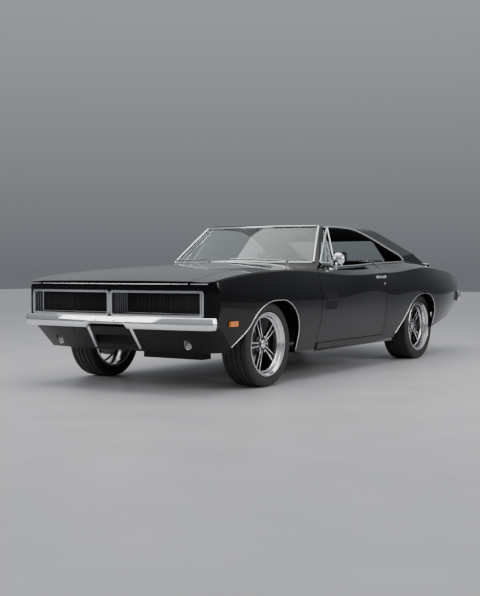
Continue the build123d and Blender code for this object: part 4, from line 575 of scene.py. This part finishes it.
for side, sign in sides:
    pad = block(f"arm_slot_cover_{side}", (sign * 0.399, 0.0, 0.414), (sign * 0.461, 1.0, 0.4845))
    for vertex in pad.data.vertices:
        skin = landed(["front_valance"], (vertex.co.x, ahead, vertex.co.z), rearward).y
        vertex.co.y = skin + (-0.001 if vertex.co.y < 0.5 else 0.004)
    mounted(pad, black_enamel)

recess_black = Finish("recess_black", (0.016, 0.016, 0.018), 0.34, Coat_Weight=0.3, Coat_Roughness=0.2)
# Painted highlight: the ribs' crests are tinted pale grey; the same mask raises them in relief.
upright = recess_black.ribs("Y", 85.0)
recess_black.tint(recess_black.fade(upright, 0.28, 0.44), (0.008, 0.008, 0.009), (0.22, 0.225, 0.235))
recess_black.gloss(0.26, (120.0, 3.0), 0.2)
recess_black.relief(upright, 0.0030)
surround = dress_panel("grille_surround", bright_chrome)
surround.data.materials.append(recess_black.material)
divider, outer_x, sill_z, head_z, inner_frame_y = 0.020, 0.815, 0.578, 0.755, -2.4475
for polygon in surround.data.polygons:
    across, level = abs(polygon.center.x), polygon.center.z
    rim = across < divider or across > outer_x or level < sill_z or level > head_z
    bright = rim or polygon.normal.y < -0.9 or polygon.center.y > inner_frame_y
    polygon.material_index = 0 if bright else 1


# -------------------- grille mesh and headlamp doors
# Black blades stand in front of a dark screen, crossed by thin bars. The two outer fields are doors
# that roll up over the lamps and carry the same blades, so that the grille looks unbroken.
grille_black = Finish("grille_black_blades", (0.02, 0.02, 0.022), 0.4)
grille_black.grain((180.0, 3.0), (0.012, 0.012, 0.013), (0.03, 0.03, 0.032), 0.3, 0.25, 0.0001)
screen_black = Finish("screen_black", (0.004, 0.004, 0.004), 0.7)
weave = screen_black.ribs("X", 240.0) + screen_black.ribs("Z", 240.0)
screen_black.tint(screen_black.fade(weave, 0.5, 0.7), (0.002, 0.002, 0.002), (0.014, 0.014, 0.015))
screen_black.relief(weave, 0.001)


def blades(name, x_ends, y, z_low, z_high, body):
    """Upright blades and cross bars over one field of the grille."""
    x_low, x_high = sorted(x_ends)
    bars = []
    count = int((x_high - x_low) / 0.0125)
    for index in range(count + 1):
        x = x_low + (x_high - x_low) * index / count
        bars.append(block("blade", (x - 0.0011, y - 0.005, z_low), (x + 0.0011, y + 0.0005, z_high)))
    for index in range(1, 6):
        z = z_low + (z_high - z_low) * index / 6
        bars.append(block("bar", (x_low, y - 0.0038, z - 0.0012), (x_high, y + 0.0005, z + 0.0012)))
    return mounted(joined(bars, name), grille_black, body)


dress_panel("grille", screen_black)
for side, sign in sides:
    door = f"headlamp_door_{side}"
    blades(f"grille_blades_{side}", (sign * 0.103, sign * 0.474), -2.440, 0.5935, 0.7405, "body")
    blades(f"lamp_door_blades_{side}", (sign * 0.484, sign * 0.762), -2.436, 0.600, 0.734, door)
    dress_panel(door, screen_black, door)


# -------------------- lamps
# Four sealed round headlamps of ribbed glass in bright bowls on one bar. Parking lamps are smoked ribbed
# lenses in bright rings, side markers amber plastic, tail lamps red plastic with moulded ribs.
lamp_glass = Finish("lamp_glass_ribbed", (0.9, 0.92, 0.93), 0.06, Transmission_Weight=1.0, IOR=1.5)
lamp_glass.gloss(0.04, (60.0, 3.0), 0.06)
lamp_glass.relief(lamp_glass.ribs("X", 110.0), 0.0015)
lamp_bowl = Finish("lamp_bowl_silver", (0.75, 0.76, 0.78), 0.12, Metallic=1.0)
lamp_bowl.gloss(0.1, (40.0, 4.0), 0.12)
lamp_bowl.relief((90.0, 3.0), 0.0001)
dress_panel("headlamps", lamp_bowl)
for side, sign in sides:
    for label, lamp_x in (("inner", 0.558), ("outer", 0.688)):
        lens = placed(bpy.ops.mesh.primitive_uv_sphere_add, f"headlamp_lens_{label}_{side}", segments=48,
                      ring_count=24, radius=0.061, location=(sign * lamp_x, -2.3955, 0.667),
                      scale=(1.0, 0.2, 1.0))
        mounted(lens, lamp_glass)

smoked_lens = Finish("smoked_lens", (0.10, 0.10, 0.105), 0.12, Coat_Weight=1.0, Coat_Roughness=0.04)
smoked_lens.tint((150.0, 2.0), (0.05, 0.05, 0.055), (0.26, 0.26, 0.27))
smoked_lens.relief(smoked_lens.ribs("Z", 150.0), 0.0015)
dress_panel("parking_lamps", smoked_lens)


def hoop(name, radius, wire, centre, segments, wire_segments):
    """A bright wire ring that faces fore and aft."""
    return placed(bpy.ops.mesh.primitive_torus_add, name, major_radius=radius, minor_radius=wire,
                  major_segments=segments, minor_segments=wire_segments, location=centre,
                  rotation=(radians(90), 0.0, 0.0))


for side, sign in sides:
    ring = hoop(f"parking_lamp_ring_{side}", 0.0345, 0.0022, (sign * 0.625, -2.3945, 0.362), 64, 12)
    mounted(ring, bright_chrome)

amber_plastic = Finish("amber_plastic", (0.85, 0.22, 0.015), 0.16, Coat_Weight=0.8, Coat_Roughness=0.05,
                       Emission_Color=(0.9, 0.22, 0.02, 1.0), Emission_Strength=0.12)
amber_ribs = amber_plastic.ribs("Y", 200.0)
amber_plastic.tint(amber_ribs * 2.0, (0.62, 0.12, 0.006), (0.95, 0.30, 0.03))
amber_plastic.relief(amber_ribs, 0.001)
dress_panel("marker_lamps", amber_plastic)
red_plastic = Finish("red_plastic", (0.42, 0.008, 0.008), 0.15, Coat_Weight=1.0, Coat_Roughness=0.05)
red_ribs = red_plastic.ribs("Z", 190.0)
red_plastic.tint(red_ribs * 2.0, (0.22, 0.004, 0.004), (0.62, 0.015, 0.012))
red_plastic.relief(red_ribs, 0.0015)
dress_panel("tail_lamps", red_plastic)


# -------------------- glass
# Laminated windscreen, curved rear window set between the roof's sails, and two small swivel panes in
# the doors. The glass is faintly green, with a trace of dust; the door glass is wound down.
clear_glass = Finish("clear_glass", (0.80, 0.88, 0.86), 0.0, Transmission_Weight=1.0, IOR=1.45)
film = clear_glass.noise(4.0, 8.0)
clear_glass.set("Roughness", film * 0.012)
clear_glass.tint(film, (0.76, 0.86, 0.83), (0.84, 0.90, 0.88))
for node, body in [("windshield", "body"), ("rear_window", "body"), ("vent_window_left", "door_left"),
                   ("vent_window_right", "door_right")]:
    dress_panel(node, clear_glass, body)


# -------------------- bright mouldings and sill flanges
# Stainless strips, drawn and polished, clipped round the windscreen and swivel panes, along drip rails,
# belt and front lips and in the wheel openings. The black flanges are the folded edges of the sills.
stainless = Finish("stainless_trim", (0.72, 0.73, 0.74), 0.12, Metallic=1.0)
drawn = stainless.noise(300.0, 2.0, (1.0, 0.05, 1.0))
stainless.gloss(0.08, drawn, 0.12)
stainless.tint((18.0, 4.0), (0.64, 0.65, 0.66), (0.78, 0.79, 0.80))
stainless.relief(drawn, 0.00004)


def moulding(name, points, radius, swell=1.0):
    """A drawn bar of round section along a line of points, thicker by a factor at its far end."""
    line = made(bpy.ops.curve.primitive_nurbs_path_add, "line")
    line.data.splines.clear()
    run = line.data.splines.new("NURBS")
    run.points.add(len(points) - 1)
    for index, (point, place) in enumerate(zip(run.points, points)):
        point.co = (*place, 1.0)
        point.radius = 1.0 + (swell - 1.0) * index / (len(points) - 1)
    run.order_u = 3
    run.use_endpoint_u = True
    run.resolution_u = 5
    line.data.bevel_depth = radius
    line.data.bevel_resolution = 3
    line.data.use_fill_caps = True
    bpy.ops.object.convert(target="MESH")
    bar = bpy.context.object
    bar.name = name
    bpy.ops.object.shade_smooth_by_angle(angle=radians(50))
    return bar


def edge_of(nodes, start, step, direction, reach, lift):
    """Where a panel begins along a row of places: the first whose line meets it within a reach."""
    place = Vector(start)
    for tries in range(200):
        met = landed(nodes, place, direction, lift)
        if met and (met - place).length < reach:
            return met
        place += Vector(step)
    return place


def trim(name, points, radius, body="body", swell=1.0):
    """A moulding in stainless steel on its body."""
    mounted(moulding(name, points, radius, swell), stainless, body)


before_screen, screen_reach = -2.0, 2.5
for side, sign in sides:
    post_line = [edge_of(["windshield"], (sign * 0.8, before_screen, z), (-sign * 0.002, 0.0, 0.0), rearward,
                         screen_reach, 0.004) + Vector((sign * 0.012, 0.0, 0.0))
                 for z in (0.976, 1.02, 1.07, 1.12, 1.17, 1.22, 1.27, 1.300)]
    trim(f"screen_pillar_moulding_{side}", post_line, 0.0115)
    rail = [edge_of([f"quarter_{side}", "roof"], (sign * 1.2, y, max(z - 0.07, 1.001)), (0.0, 0.0, 0.003),
                    (-sign, 0.0, 0.0), 0.66, 0.003) + Vector((0.0, 0.0, 0.006))
            for y, z in [(-0.320, 1.290), (-0.150, 1.300), (0.060, 1.300), (0.273, 1.285), (0.430, 1.255),
                         (0.557, 1.216), (0.690, 1.170), (0.814, 1.124), (0.960, 1.074), (1.060, 1.040),
                         (1.130, 1.010)]]
    trim(f"drip_moulding_{side}", rail, 0.0085, swell=1.6)

for name, start_z, step_z, half in [("screen_header_moulding", 1.380, -0.003, 0.585),
                                    ("screen_foot_moulding", 0.900, 0.003, 0.735)]:
    trim(name, [edge_of(["windshield"], (half * index / 8, before_screen, start_z), (0.0, 0.0, step_z),
                        rearward, screen_reach, 0.003) for index in range(-8, 9)], 0.0105)
bead_z = 0.8085
for name, node, body, x_low, x_high in [("hood_lip_bead", "hood", "hood", -0.712, 0.712),
                                        ("fender_lip_bead_left", "fender_left", "body", 0.735, 0.868),
                                        ("fender_lip_bead_right", "fender_right", "body", -0.868, -0.735)]:
    trim(name, [landed([node], (x_low + (x_high - x_low) * index / 12, ahead, bead_z), rearward, 0.0005)
                for index in range(13)], 0.0032, body)

for side, sign in sides:
    door, quarter = f"door_{side}", f"quarter_{side}"
    front_foot, rear_foot = (0.784, -0.676, 0.972), (0.830, -0.498, 0.966)
    frame_lines = [([front_foot, (0.704, -0.470, 1.130), (0.624, -0.262, 1.288)], 0.0085),
                   ([rear_foot, (0.728, -0.376, 1.130), (0.628, -0.256, 1.290)], 0.0075),
                   ([front_foot, (0.808, -0.590, 0.970), rear_foot], 0.0065)]
    posts = [moulding("post", [(sign * x, y, z) for x, y, z in line], radius) for line, radius in frame_lines]
    mounted(joined(posts, f"swivel_pane_frame_{side}"), stainless, door)

    belts = {}
    for panel, places in ((door, (-0.48, -0.35, -0.2, -0.05, 0.1, 0.22)),
                          (quarter, (0.335, 0.45, 0.6, 0.75, 0.9, 1.0))):
        belts[panel] = [edge_of([panel], (sign * 0.802, y, 1.1), (sign * 0.002, 0.0, 0.0), (0.0, 0.0, -1.0),
                                0.3, 0.005) for y in places]
    belts[door].append(belts[door][-1] + Vector((0.0, 0.092, 0.006)))
    belts[quarter] += [Vector((sign * 0.776, 1.080, 0.998)), Vector((sign * 0.752, 1.130, 1.010))]
    trim(f"belt_moulding_{side}", belts[door], 0.0075, door)
    trim(f"quarter_belt_moulding_{side}", belts[quarter], 0.0075)

    front_lip = [(-2.236, 0.345), (-2.140, 0.408), (-2.046, 0.472), (-1.975, 0.545), (-1.906, 0.611),
                 (-1.820, 0.650), (-1.730, 0.667), (-1.646, 0.671), (-1.560, 0.665), (-1.475, 0.646),
                 (-1.396, 0.600), (-1.340, 0.520), (-1.304, 0.425), (-1.304, 0.340), (-1.304, 0.268)]
    rear_lip = [(0.616, 0.295), (0.712, 0.385), (0.806, 0.481), (0.876, 0.548), (0.946, 0.611),
                (1.030, 0.645), (1.120, 0.662), (1.216, 0.665), (1.310, 0.655), (1.385, 0.630),
                (1.441, 0.591), (1.480, 0.510), (1.501, 0.425), (1.501, 0.345)]
    lip_limit = 0.9580
    for end, node, lip, centre_y in (("front", f"fender_{side}", front_lip, -1.696),
                                     ("rear", quarter, rear_lip, 1.16)):
        line = []
        for y, z in lip:
            out = Vector((0.0, y - centre_y, z - 0.30)).normalized()
            start = Vector((sign * 1.3, y, z)) - out * 0.05
            spot = edge_of([node], start, out * 0.002, (-sign, 0.0, 0.0), 0.46, 0.001) + out * 0.003
            line.append(Vector((sign * min(abs(spot.x), lip_limit), spot.y, spot.z)))
        trim(f"{end}_arch_lip_{side}", line, 0.0038)
    flange = block(f"sill_flange_{side}", (sign * 0.866, -0.932, 0.2262), (sign * 0.8745, 0.600, 0.264))
    mounted(eased(flange, 0.002), black_enamel)


# -------------------- door furniture, mirror, wipers, filler
# Chromed pull handles with a push button and a round lock below, one round mirror on the driver's
# door, two wiper arms parked along the screen's foot, and a flip-up filler cap ringed with screws.
handle_z, button_y, lock_z = 0.842, 0.287, 0.782
for side, sign in sides:
    door = f"door_{side}"
    skin = landed([door], (sign * 1.3, 0.2, handle_z), (-sign, 0.0, 0.0)).x
    grip = block("grip", (skin + sign * 0.005, 0.105, handle_z - 0.010),
                 (skin + sign * 0.0165, 0.268, handle_z + 0.010))
    feet = [block("foot", (skin - sign * 0.006, y - 0.016, handle_z - 0.012),
                  (skin + sign * 0.012, y + 0.016, handle_z + 0.012)) for y in (0.118, 0.255)]
    button = barrel("button", (skin, button_y, handle_z), (skin + sign * 0.014, button_y, handle_z), 0.0125)
    handle = [eased(grip, 0.005, 3), *[eased(foot, 0.004) for foot in feet], eased(button, 0.002)]
    mounted(joined(handle, f"door_handle_{side}"), bright_chrome, door)
    skin = landed([door], (sign * 1.3, button_y, lock_z), (-sign, 0.0, 0.0)).x
    lock = eased(barrel("lock", (skin - sign * 0.004, button_y, lock_z),
                        (skin + sign * 0.005, button_y, lock_z), 0.0115), 0.0015)
    slit = block("slit", (skin, button_y - 0.0008, lock_z - 0.005),
                 (skin + sign * 0.006, button_y + 0.0008, lock_z + 0.005))
    mounted(joined([lock, slit], f"door_lock_{side}"), bright_chrome, door)
dress_panel("door_mirror", bright_chrome, "door_left")

wiper_black = Finish("wiper_rubber", (0.012, 0.012, 0.012), 0.6)
wiper_black.gloss(0.5, (80.0, 3.0), 0.3)
wiper_black.relief((200.0, 2.0), 0.0003)
for name, pivot, elbow, tip, blade_start in [
        ("left", (0.600, -0.925, 0.985), (0.34, -0.965, 1.005), (0.06, -0.985, 1.006),
         (0.50, -0.905, 0.990)),
        ("right", (-0.150, -1.000, 0.992), (-0.42, -0.945, 1.003), (-0.66, -0.850, 0.998),
         (-0.22, -0.975, 1.004))]:
    stud = barrel("stud", (*pivot[:2], pivot[2] - 0.03), (*pivot[:2], pivot[2] + 0.006), 0.013)
    arm = moulding("arm", [pivot, elbow, tip], 0.0042)
    run = (blade_start, elbow, tip)
    clip = moulding("clip", [(x, y + 0.012, z + 0.001) for x, y, z in run], 0.0032)
    mounted(joined([stud, arm, clip], f"wiper_arm_{name}"), stainless)
    blade = moulding(f"wiper_blade_{name}", [(x, y + 0.016, z - 0.004) for x, y, z in run], 0.004)
    mounted(blade, wiper_black)

dress_panel("fuel_cap", bright_chrome, "fuel_cap")


# -------------------- seats and bench
# Foam under black vinyl, pleated lengthwise, with a plain bolster round each pad: two buckets with
# loose headrests and one bench. Each pad is swollen from a block, then capped.
black_vinyl = Finish("black_vinyl_pleated", (0.02, 0.02, 0.021), 0.45, Coat_Weight=0.15, Coat_Roughness=0.4)
pleat = black_vinyl.ribs("X", 20.0)
grain = black_vinyl.noise(700.0, 3.0)
# Painted shade: the sewn channels between pleats are tinted darker; the same mask sinks them in relief.
black_vinyl.tint(black_vinyl.fade(pleat, 0.42, 0.5), (0.024, 0.024, 0.025), (0.006, 0.006, 0.006))
black_vinyl.gloss(0.38, grain, 0.2)
black_vinyl.relief(grain * 0.05 - black_vinyl.fade(pleat, 0.38, 0.5), 0.006)


def stuffed(name, corners, x_low, x_high, cap):
    """A pad of foam from the four (y, z) corners of its side view, swollen and capped."""
    pad = block(name, (x_low, 0.0, 0.0), (x_high, 1.0, 1.0))
    for vertex in pad.data.vertices:
        low_y, low_z = vertex.co.y < 0.5, vertex.co.z < 0.5
        vertex.co.y, vertex.co.z = corners[0 if low_y and low_z else 1 if low_y else 3 if low_z else 2]
    eased(pad, 0.022, 4)
    voxels = pad.modifiers.new("voxels", "REMESH")
    voxels.mode = "VOXEL"
    voxels.voxel_size = 0.006
    bpy.ops.object.modifier_apply(modifier=voxels.name)
    rest = [vertex.co.copy() for vertex in pad.data.vertices]
    cloth = pad.modifiers.new("cloth", "CLOTH")
    cloth.settings.use_pressure = True
    cloth.settings.uniform_pressure_force = 4.0
    cloth.settings.effector_weights.gravity = 0.0
    for step in range(1, 21):
        bpy.context.scene.frame_set(step)
    bpy.ops.object.modifier_apply(modifier=cloth.name)
    bpy.context.scene.frame_set(1)
    for vertex, start in zip(pad.data.vertices, rest):
        shift = vertex.co - start
        if shift.length > cap:
            vertex.co = start + shift * (cap / shift.length)
    bpy.ops.object.shade_smooth()
    return pad


foam_fill, seat_x = 0.8, 0.402
for name, corners, half, cap in [
        ("cushion", [(-0.285, 0.435), (-0.270, 0.522), (0.190, 0.498), (0.200, 0.435)], 0.228, 0.016),
        ("back", [(0.175, 0.500), (0.312, 0.945), (0.366, 0.955), (0.272, 0.545)], 0.222, 0.014),
        ("headrest", [(0.334, 0.975), (0.342, 1.080), (0.388, 1.078), (0.386, 0.978)], 0.108, 0.008)]:
    pad = stuffed(f"seat_{name}_left", corners, seat_x - half, seat_x + half, cap)
    twin = bpy.data.objects.new(f"seat_{name}_right", pad.data.copy())
    bpy.context.scene.collection.objects.link(twin)
    twin.data.transform(Matrix.Translation((-2 * seat_x, 0.0, 0.0)))
    for one, side in ((pad, "left"), (twin, "right")):
        mounted(one, black_vinyl)
        if name == "cushion":
            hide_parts(f"front_seat_{side}")
for side, sign in sides:
    plinth = block(f"seat_plinth_{side}", (sign * 0.212, -0.250, 0.320), (sign * 0.592, 0.180, 0.440))
    mounted(eased(plinth, 0.012), grille_black)
    stalks = [barrel("stalk", (sign * x, 0.352, 0.93), (sign * x, 0.364, 1.02), 0.006)
              for x in (0.345, 0.459)]
    mounted(joined(stalks, f"headrest_stalks_{side}"), bright_chrome)
for name, corners, cap in [
        ("cushion", [(0.612, 0.480), (0.618, 0.545), (0.915, 0.540), (0.920, 0.480)], 0.016),
        ("back", [(0.915, 0.545), (1.010, 0.892), (1.050, 0.894), (1.050, 0.545)], 0.012)]:
    pad = stuffed(f"bench_{name}", corners, -0.532, 0.532, cap)
    mounted(pad, black_vinyl)
    if name == "cushion":
        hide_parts("rear_bench")


# -------------------- dashboard, steering wheel and console
# A padded black dash with a brushed panel of round gauges under the driver's hood, a thin-rimmed
# three-spoke wheel on the column, a floor console with a round-knobbed lever, and a small mirror.
dash_skin = Finish("dash_skin", (0.022, 0.022, 0.024), 0.5)
dash_skin.grain((500.0, 4.0), (0.014, 0.014, 0.015), (0.034, 0.034, 0.036), 0.42, 0.22, 0.0004)
dress_panel("dashboard", dash_skin)
brushed_panel = Finish("brushed_panel", (0.4, 0.4, 0.41), 0.3, Metallic=1.0)
brushed_panel.grain((500.0, 2.0, (0.03, 1.0, 1.0)), (0.30, 0.30, 0.31), (0.52, 0.52, 0.53),
                    0.24, 0.16, 0.0001)
panel = block("gauge_panel", (0.150, -0.6150, 0.735), (0.600, -0.6040, 0.845))
mounted(eased(panel, 0.004), brushed_panel)
dials = []
bezels = []
for x, z, r in [(0.285, 0.79, 0.044), (0.455, 0.79, 0.044), (0.370, 0.815, 0.022), (0.370, 0.765, 0.022),
                (0.195, 0.79, 0.026), (0.548, 0.79, 0.026)]:
    dials.append(eased(barrel("dial", (x, -0.612, z), (x, -0.6025, z), r), 0.001))
    bezels.append(hoop("bezel", r, 0.0028, (x, -0.6030, z), 48, 10))
mounted(joined(dials, "gauge_faces"), dash_skin)
mounted(joined(bezels, "gauge_bezels"), bright_chrome)
steering_rim = Finish("steering_rim_grip", (0.02, 0.02, 0.02), 0.35, Coat_Weight=0.3, Coat_Roughness=0.2)
steering_rim.gloss(0.3, (90.0, 3.0), 0.2)
steering_rim.relief((350.0, 3.0), 0.0002)
dress_panel("steering_wheel", steering_rim, "steering_wheel")
console = eased(block("floor_console", (-0.085, -0.50, 0.440), (0.085, 0.12, 0.530)), 0.014, 3)
mounted(console, dash_skin)
lever = moulding("lever", [(0.0, -0.22, 0.520), (0.0, -0.215, 0.60), (0.004, -0.19, 0.675)], 0.006)
knob = placed(bpy.ops.mesh.primitive_uv_sphere_add, "knob", segments=32, ring_count=16, radius=0.021,
              location=(0.005, -0.186, 0.690))
mounted(joined([lever, knob], "gear_lever"), bright_chrome)
stem = barrel("stem", (0.0, -0.475, 1.296), (0.0, -0.415, 1.262), 0.006)
shell = eased(block("shell", (-0.125, -0.424, 1.228), (0.125, -0.404, 1.284)), 0.008, 3)
mounted(joined([stem, shell], "cabin_mirror"), dash_skin)


# -------------------- floor, carpet and linings
# The pressed floor is black carpet inside and coated steel below; doors have black cards inside, the
# roof a dark perforated lining. All are the panels' own inner faces.
carpet = Finish("loop_carpet", (0.018, 0.018, 0.018), 0.9)
tuft = carpet.noise(420.0, 4.0)
carpet.tint(tuft, (0.008, 0.008, 0.008), (0.04, 0.04, 0.04))
carpet.relief(tuft, 0.003)
coated_steel = Finish("underbody_coating", (0.02, 0.02, 0.02), 0.55)
splash = coated_steel.noise(14.0, 8.0)
coated_steel.tint(splash, (0.012, 0.012, 0.012), (0.05, 0.048, 0.045))
coated_steel.gloss(0.45, splash, 0.35)
coated_steel.relief((120.0, 4.0), 0.0008)
headliner = Finish("perforated_lining", (0.05, 0.05, 0.05), 0.8)
holes = headliner.noise(260.0, 1.0)
headliner.tint(headliner.fade(holes, 0.55, 0.65), (0.045, 0.045, 0.046), (0.02, 0.02, 0.02))
headliner.relief(holes, 0.0006)


def lined(panel, finish, inside):
    """Gives a second finish to the faces of a panel that a test picks."""
    panel.data.materials.append(finish.material)
    for polygon in panel.data.polygons:
        if inside(polygon):
            polygon.material_index = 1


floor = dress_panel("floor_pan", coated_steel)
lined(floor, carpet, lambda face: -0.88 < face.center.y < 1.07 and face.center.z > 0.318
      and face.normal.z > -0.3)
for side, sign in sides:
    lined(bpy.data.objects[f"door_{side}_skin"], dash_skin,
          lambda face: face.normal.x * sign < -0.8 and abs(face.center.x) < 0.83)
lined(bpy.data.objects["roof_skin"], headliner, lambda face: face.normal.z < -0.4 and face.center.z > 1.0)


# -------------------- engine
# A cast-iron V8: crankcase, two banks with ribbed covers, a round air cleaner with a wing nut, fan and
# pulleys in front, iron manifolds down each side and a pressed sump below.
engine_paint = Finish("engine_enamel", (0.30, 0.045, 0.012), 0.4)
grime = engine_paint.noise(16.0, 8.0)
engine_paint.tint(engine_paint.fade(grime, 0.45, 0.75), (0.33, 0.05, 0.014), (0.05, 0.03, 0.02))
engine_paint.gloss(0.35, grime, 0.35)
engine_paint.relief((150.0, 4.0), 0.0006)
cast_iron = Finish("raw_cast_iron", (0.10, 0.095, 0.09), 0.6, Metallic=0.5)
rust = cast_iron.noise(30.0, 8.0)
cast_iron.tint(cast_iron.fade(rust, 0.5, 0.8), (0.075, 0.072, 0.07), (0.14, 0.08, 0.05))
cast_iron.gloss(0.5, rust, 0.3)
cast_iron.relief((220.0, 4.0), 0.0006)


def leaned(name, low, high, easing, segments):
    """The two blocks of a vee, each leaned outwards from the crankshaft."""
    pair = []
    for side, sign in sides:
        one = block(name, low, high)
        one.data.transform(Matrix.Translation((sign * 0.11, 0.0, 0.545))
                           @ Matrix.Rotation(sign * radians(40), 4, "Y"))
        pair.append(eased(one, easing, segments))
    return pair


crankcase = eased(block("crankcase", (-0.16, -1.98, 0.40), (0.16, -1.26, 0.60)), 0.02, 3)
banks = leaned("bank", (-0.085, -1.96, 0.0), (0.085, -1.30, 0.16), 0.012, 2)
engine = mounted(joined([crankcase, *banks], "engine_castings"), engine_paint)
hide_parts("engine_block")
covers = leaned("cover", (-0.070, -1.95, 0.156), (0.070, -1.31, 0.205), 0.014, 3)
mounted(joined(covers, "valve_covers"), grille_black)
cleaner = []
for name, low, high, radius, vertices, easing, segments in [
        ("drum", 0.705, 0.770, 0.175, 96, 0.012, 3), ("throat", 0.60, 0.71, 0.065, 40, 0.004, 2),
        ("nut", 0.768, 0.785, 0.012, 6, 0.002, 2)]:
    drum = barrel(name, (0.0, -1.62, low), (0.0, -1.62, high), radius, vertices)
    cleaner.append(eased(drum, easing, segments))
mounted(joined(cleaner, "air_cleaner"), bright_chrome)
fan_z = 0.62
pulleys = [eased(barrel("pulley", (x, -2.012, z), (x, -1.975, z), r, 64), 0.004)
           for x, z, r in ((0.0, 0.46, 0.085), (0.0, fan_z, 0.070), (0.17, 0.66, 0.045),
                           (-0.17, 0.60, 0.050))]
for index in range(5):
    fin = block("fin", (-0.03, -0.004, 0.06), (0.03, 0.004, 0.20))
    fin.data.transform(Matrix.Translation((0.0, -2.035, fan_z)) @ Matrix.Rotation(2 * pi * index / 5, 4, "Y")
                       @ Matrix.Rotation(radians(28), 4, "Z"))
    pulleys.append(fin)
pulleys.append(eased(barrel("fan_hub", (0.0, -2.045, fan_z), (0.0, -2.005, fan_z), 0.07), 0.004))
mounted(joined(pulleys, "pulleys_and_fan"), cast_iron)
manifolds = []
for side, sign in sides:
    manifolds.append(moulding("log", [(sign * 0.245, -1.90, 0.575), (sign * 0.252, -1.60, 0.560),
                                      (sign * 0.258, -1.50, 0.53)], 0.026))
    for y in (-1.88, -1.74, -1.60, -1.46):
        manifolds.append(barrel("runner", (sign * 0.17, y, 0.60), (sign * 0.248, min(y, -1.505), 0.568),
                                0.019, 20))
mounted(joined(manifolds, "exhaust_manifolds"), cast_iron)
sump = eased(block("oil_sump", (-0.13, -1.62, 0.245), (0.13, -1.27, 0.41)), 0.025, 3)
mounted(sump, grille_black)


# -------------------- underbody and running gear
# Welded box rails and cross-members in satin black, forged arms and knuckles with their calipers, iron
# axle on leaf springs, two pressed steel mufflers and a terne-coated tank.
for node in ("front_frame", "front_suspension"):
    dress_panel(node, coated_steel)
for node in ("driveline", "rear_axle"):
    dress_panel(node, cast_iron)
for node in ("knuckle_left", "knuckle_right"):
    dress_panel(node, cast_iron, node)
pipe_steel = Finish("aluminised_steel", (0.34, 0.33, 0.32), 0.42, Metallic=0.9)
bluing = pipe_steel.noise(11.0, 8.0)
pipe_steel.tint(bluing, (0.22, 0.21, 0.20), (0.46, 0.45, 0.43))
pipe_steel.gloss(0.32, bluing, 0.25)
pipe_steel.relief((90.0, 4.0), 0.0003)
for node in ("exhaust", "fuel_tank"):
    dress_panel(node, pipe_steel)
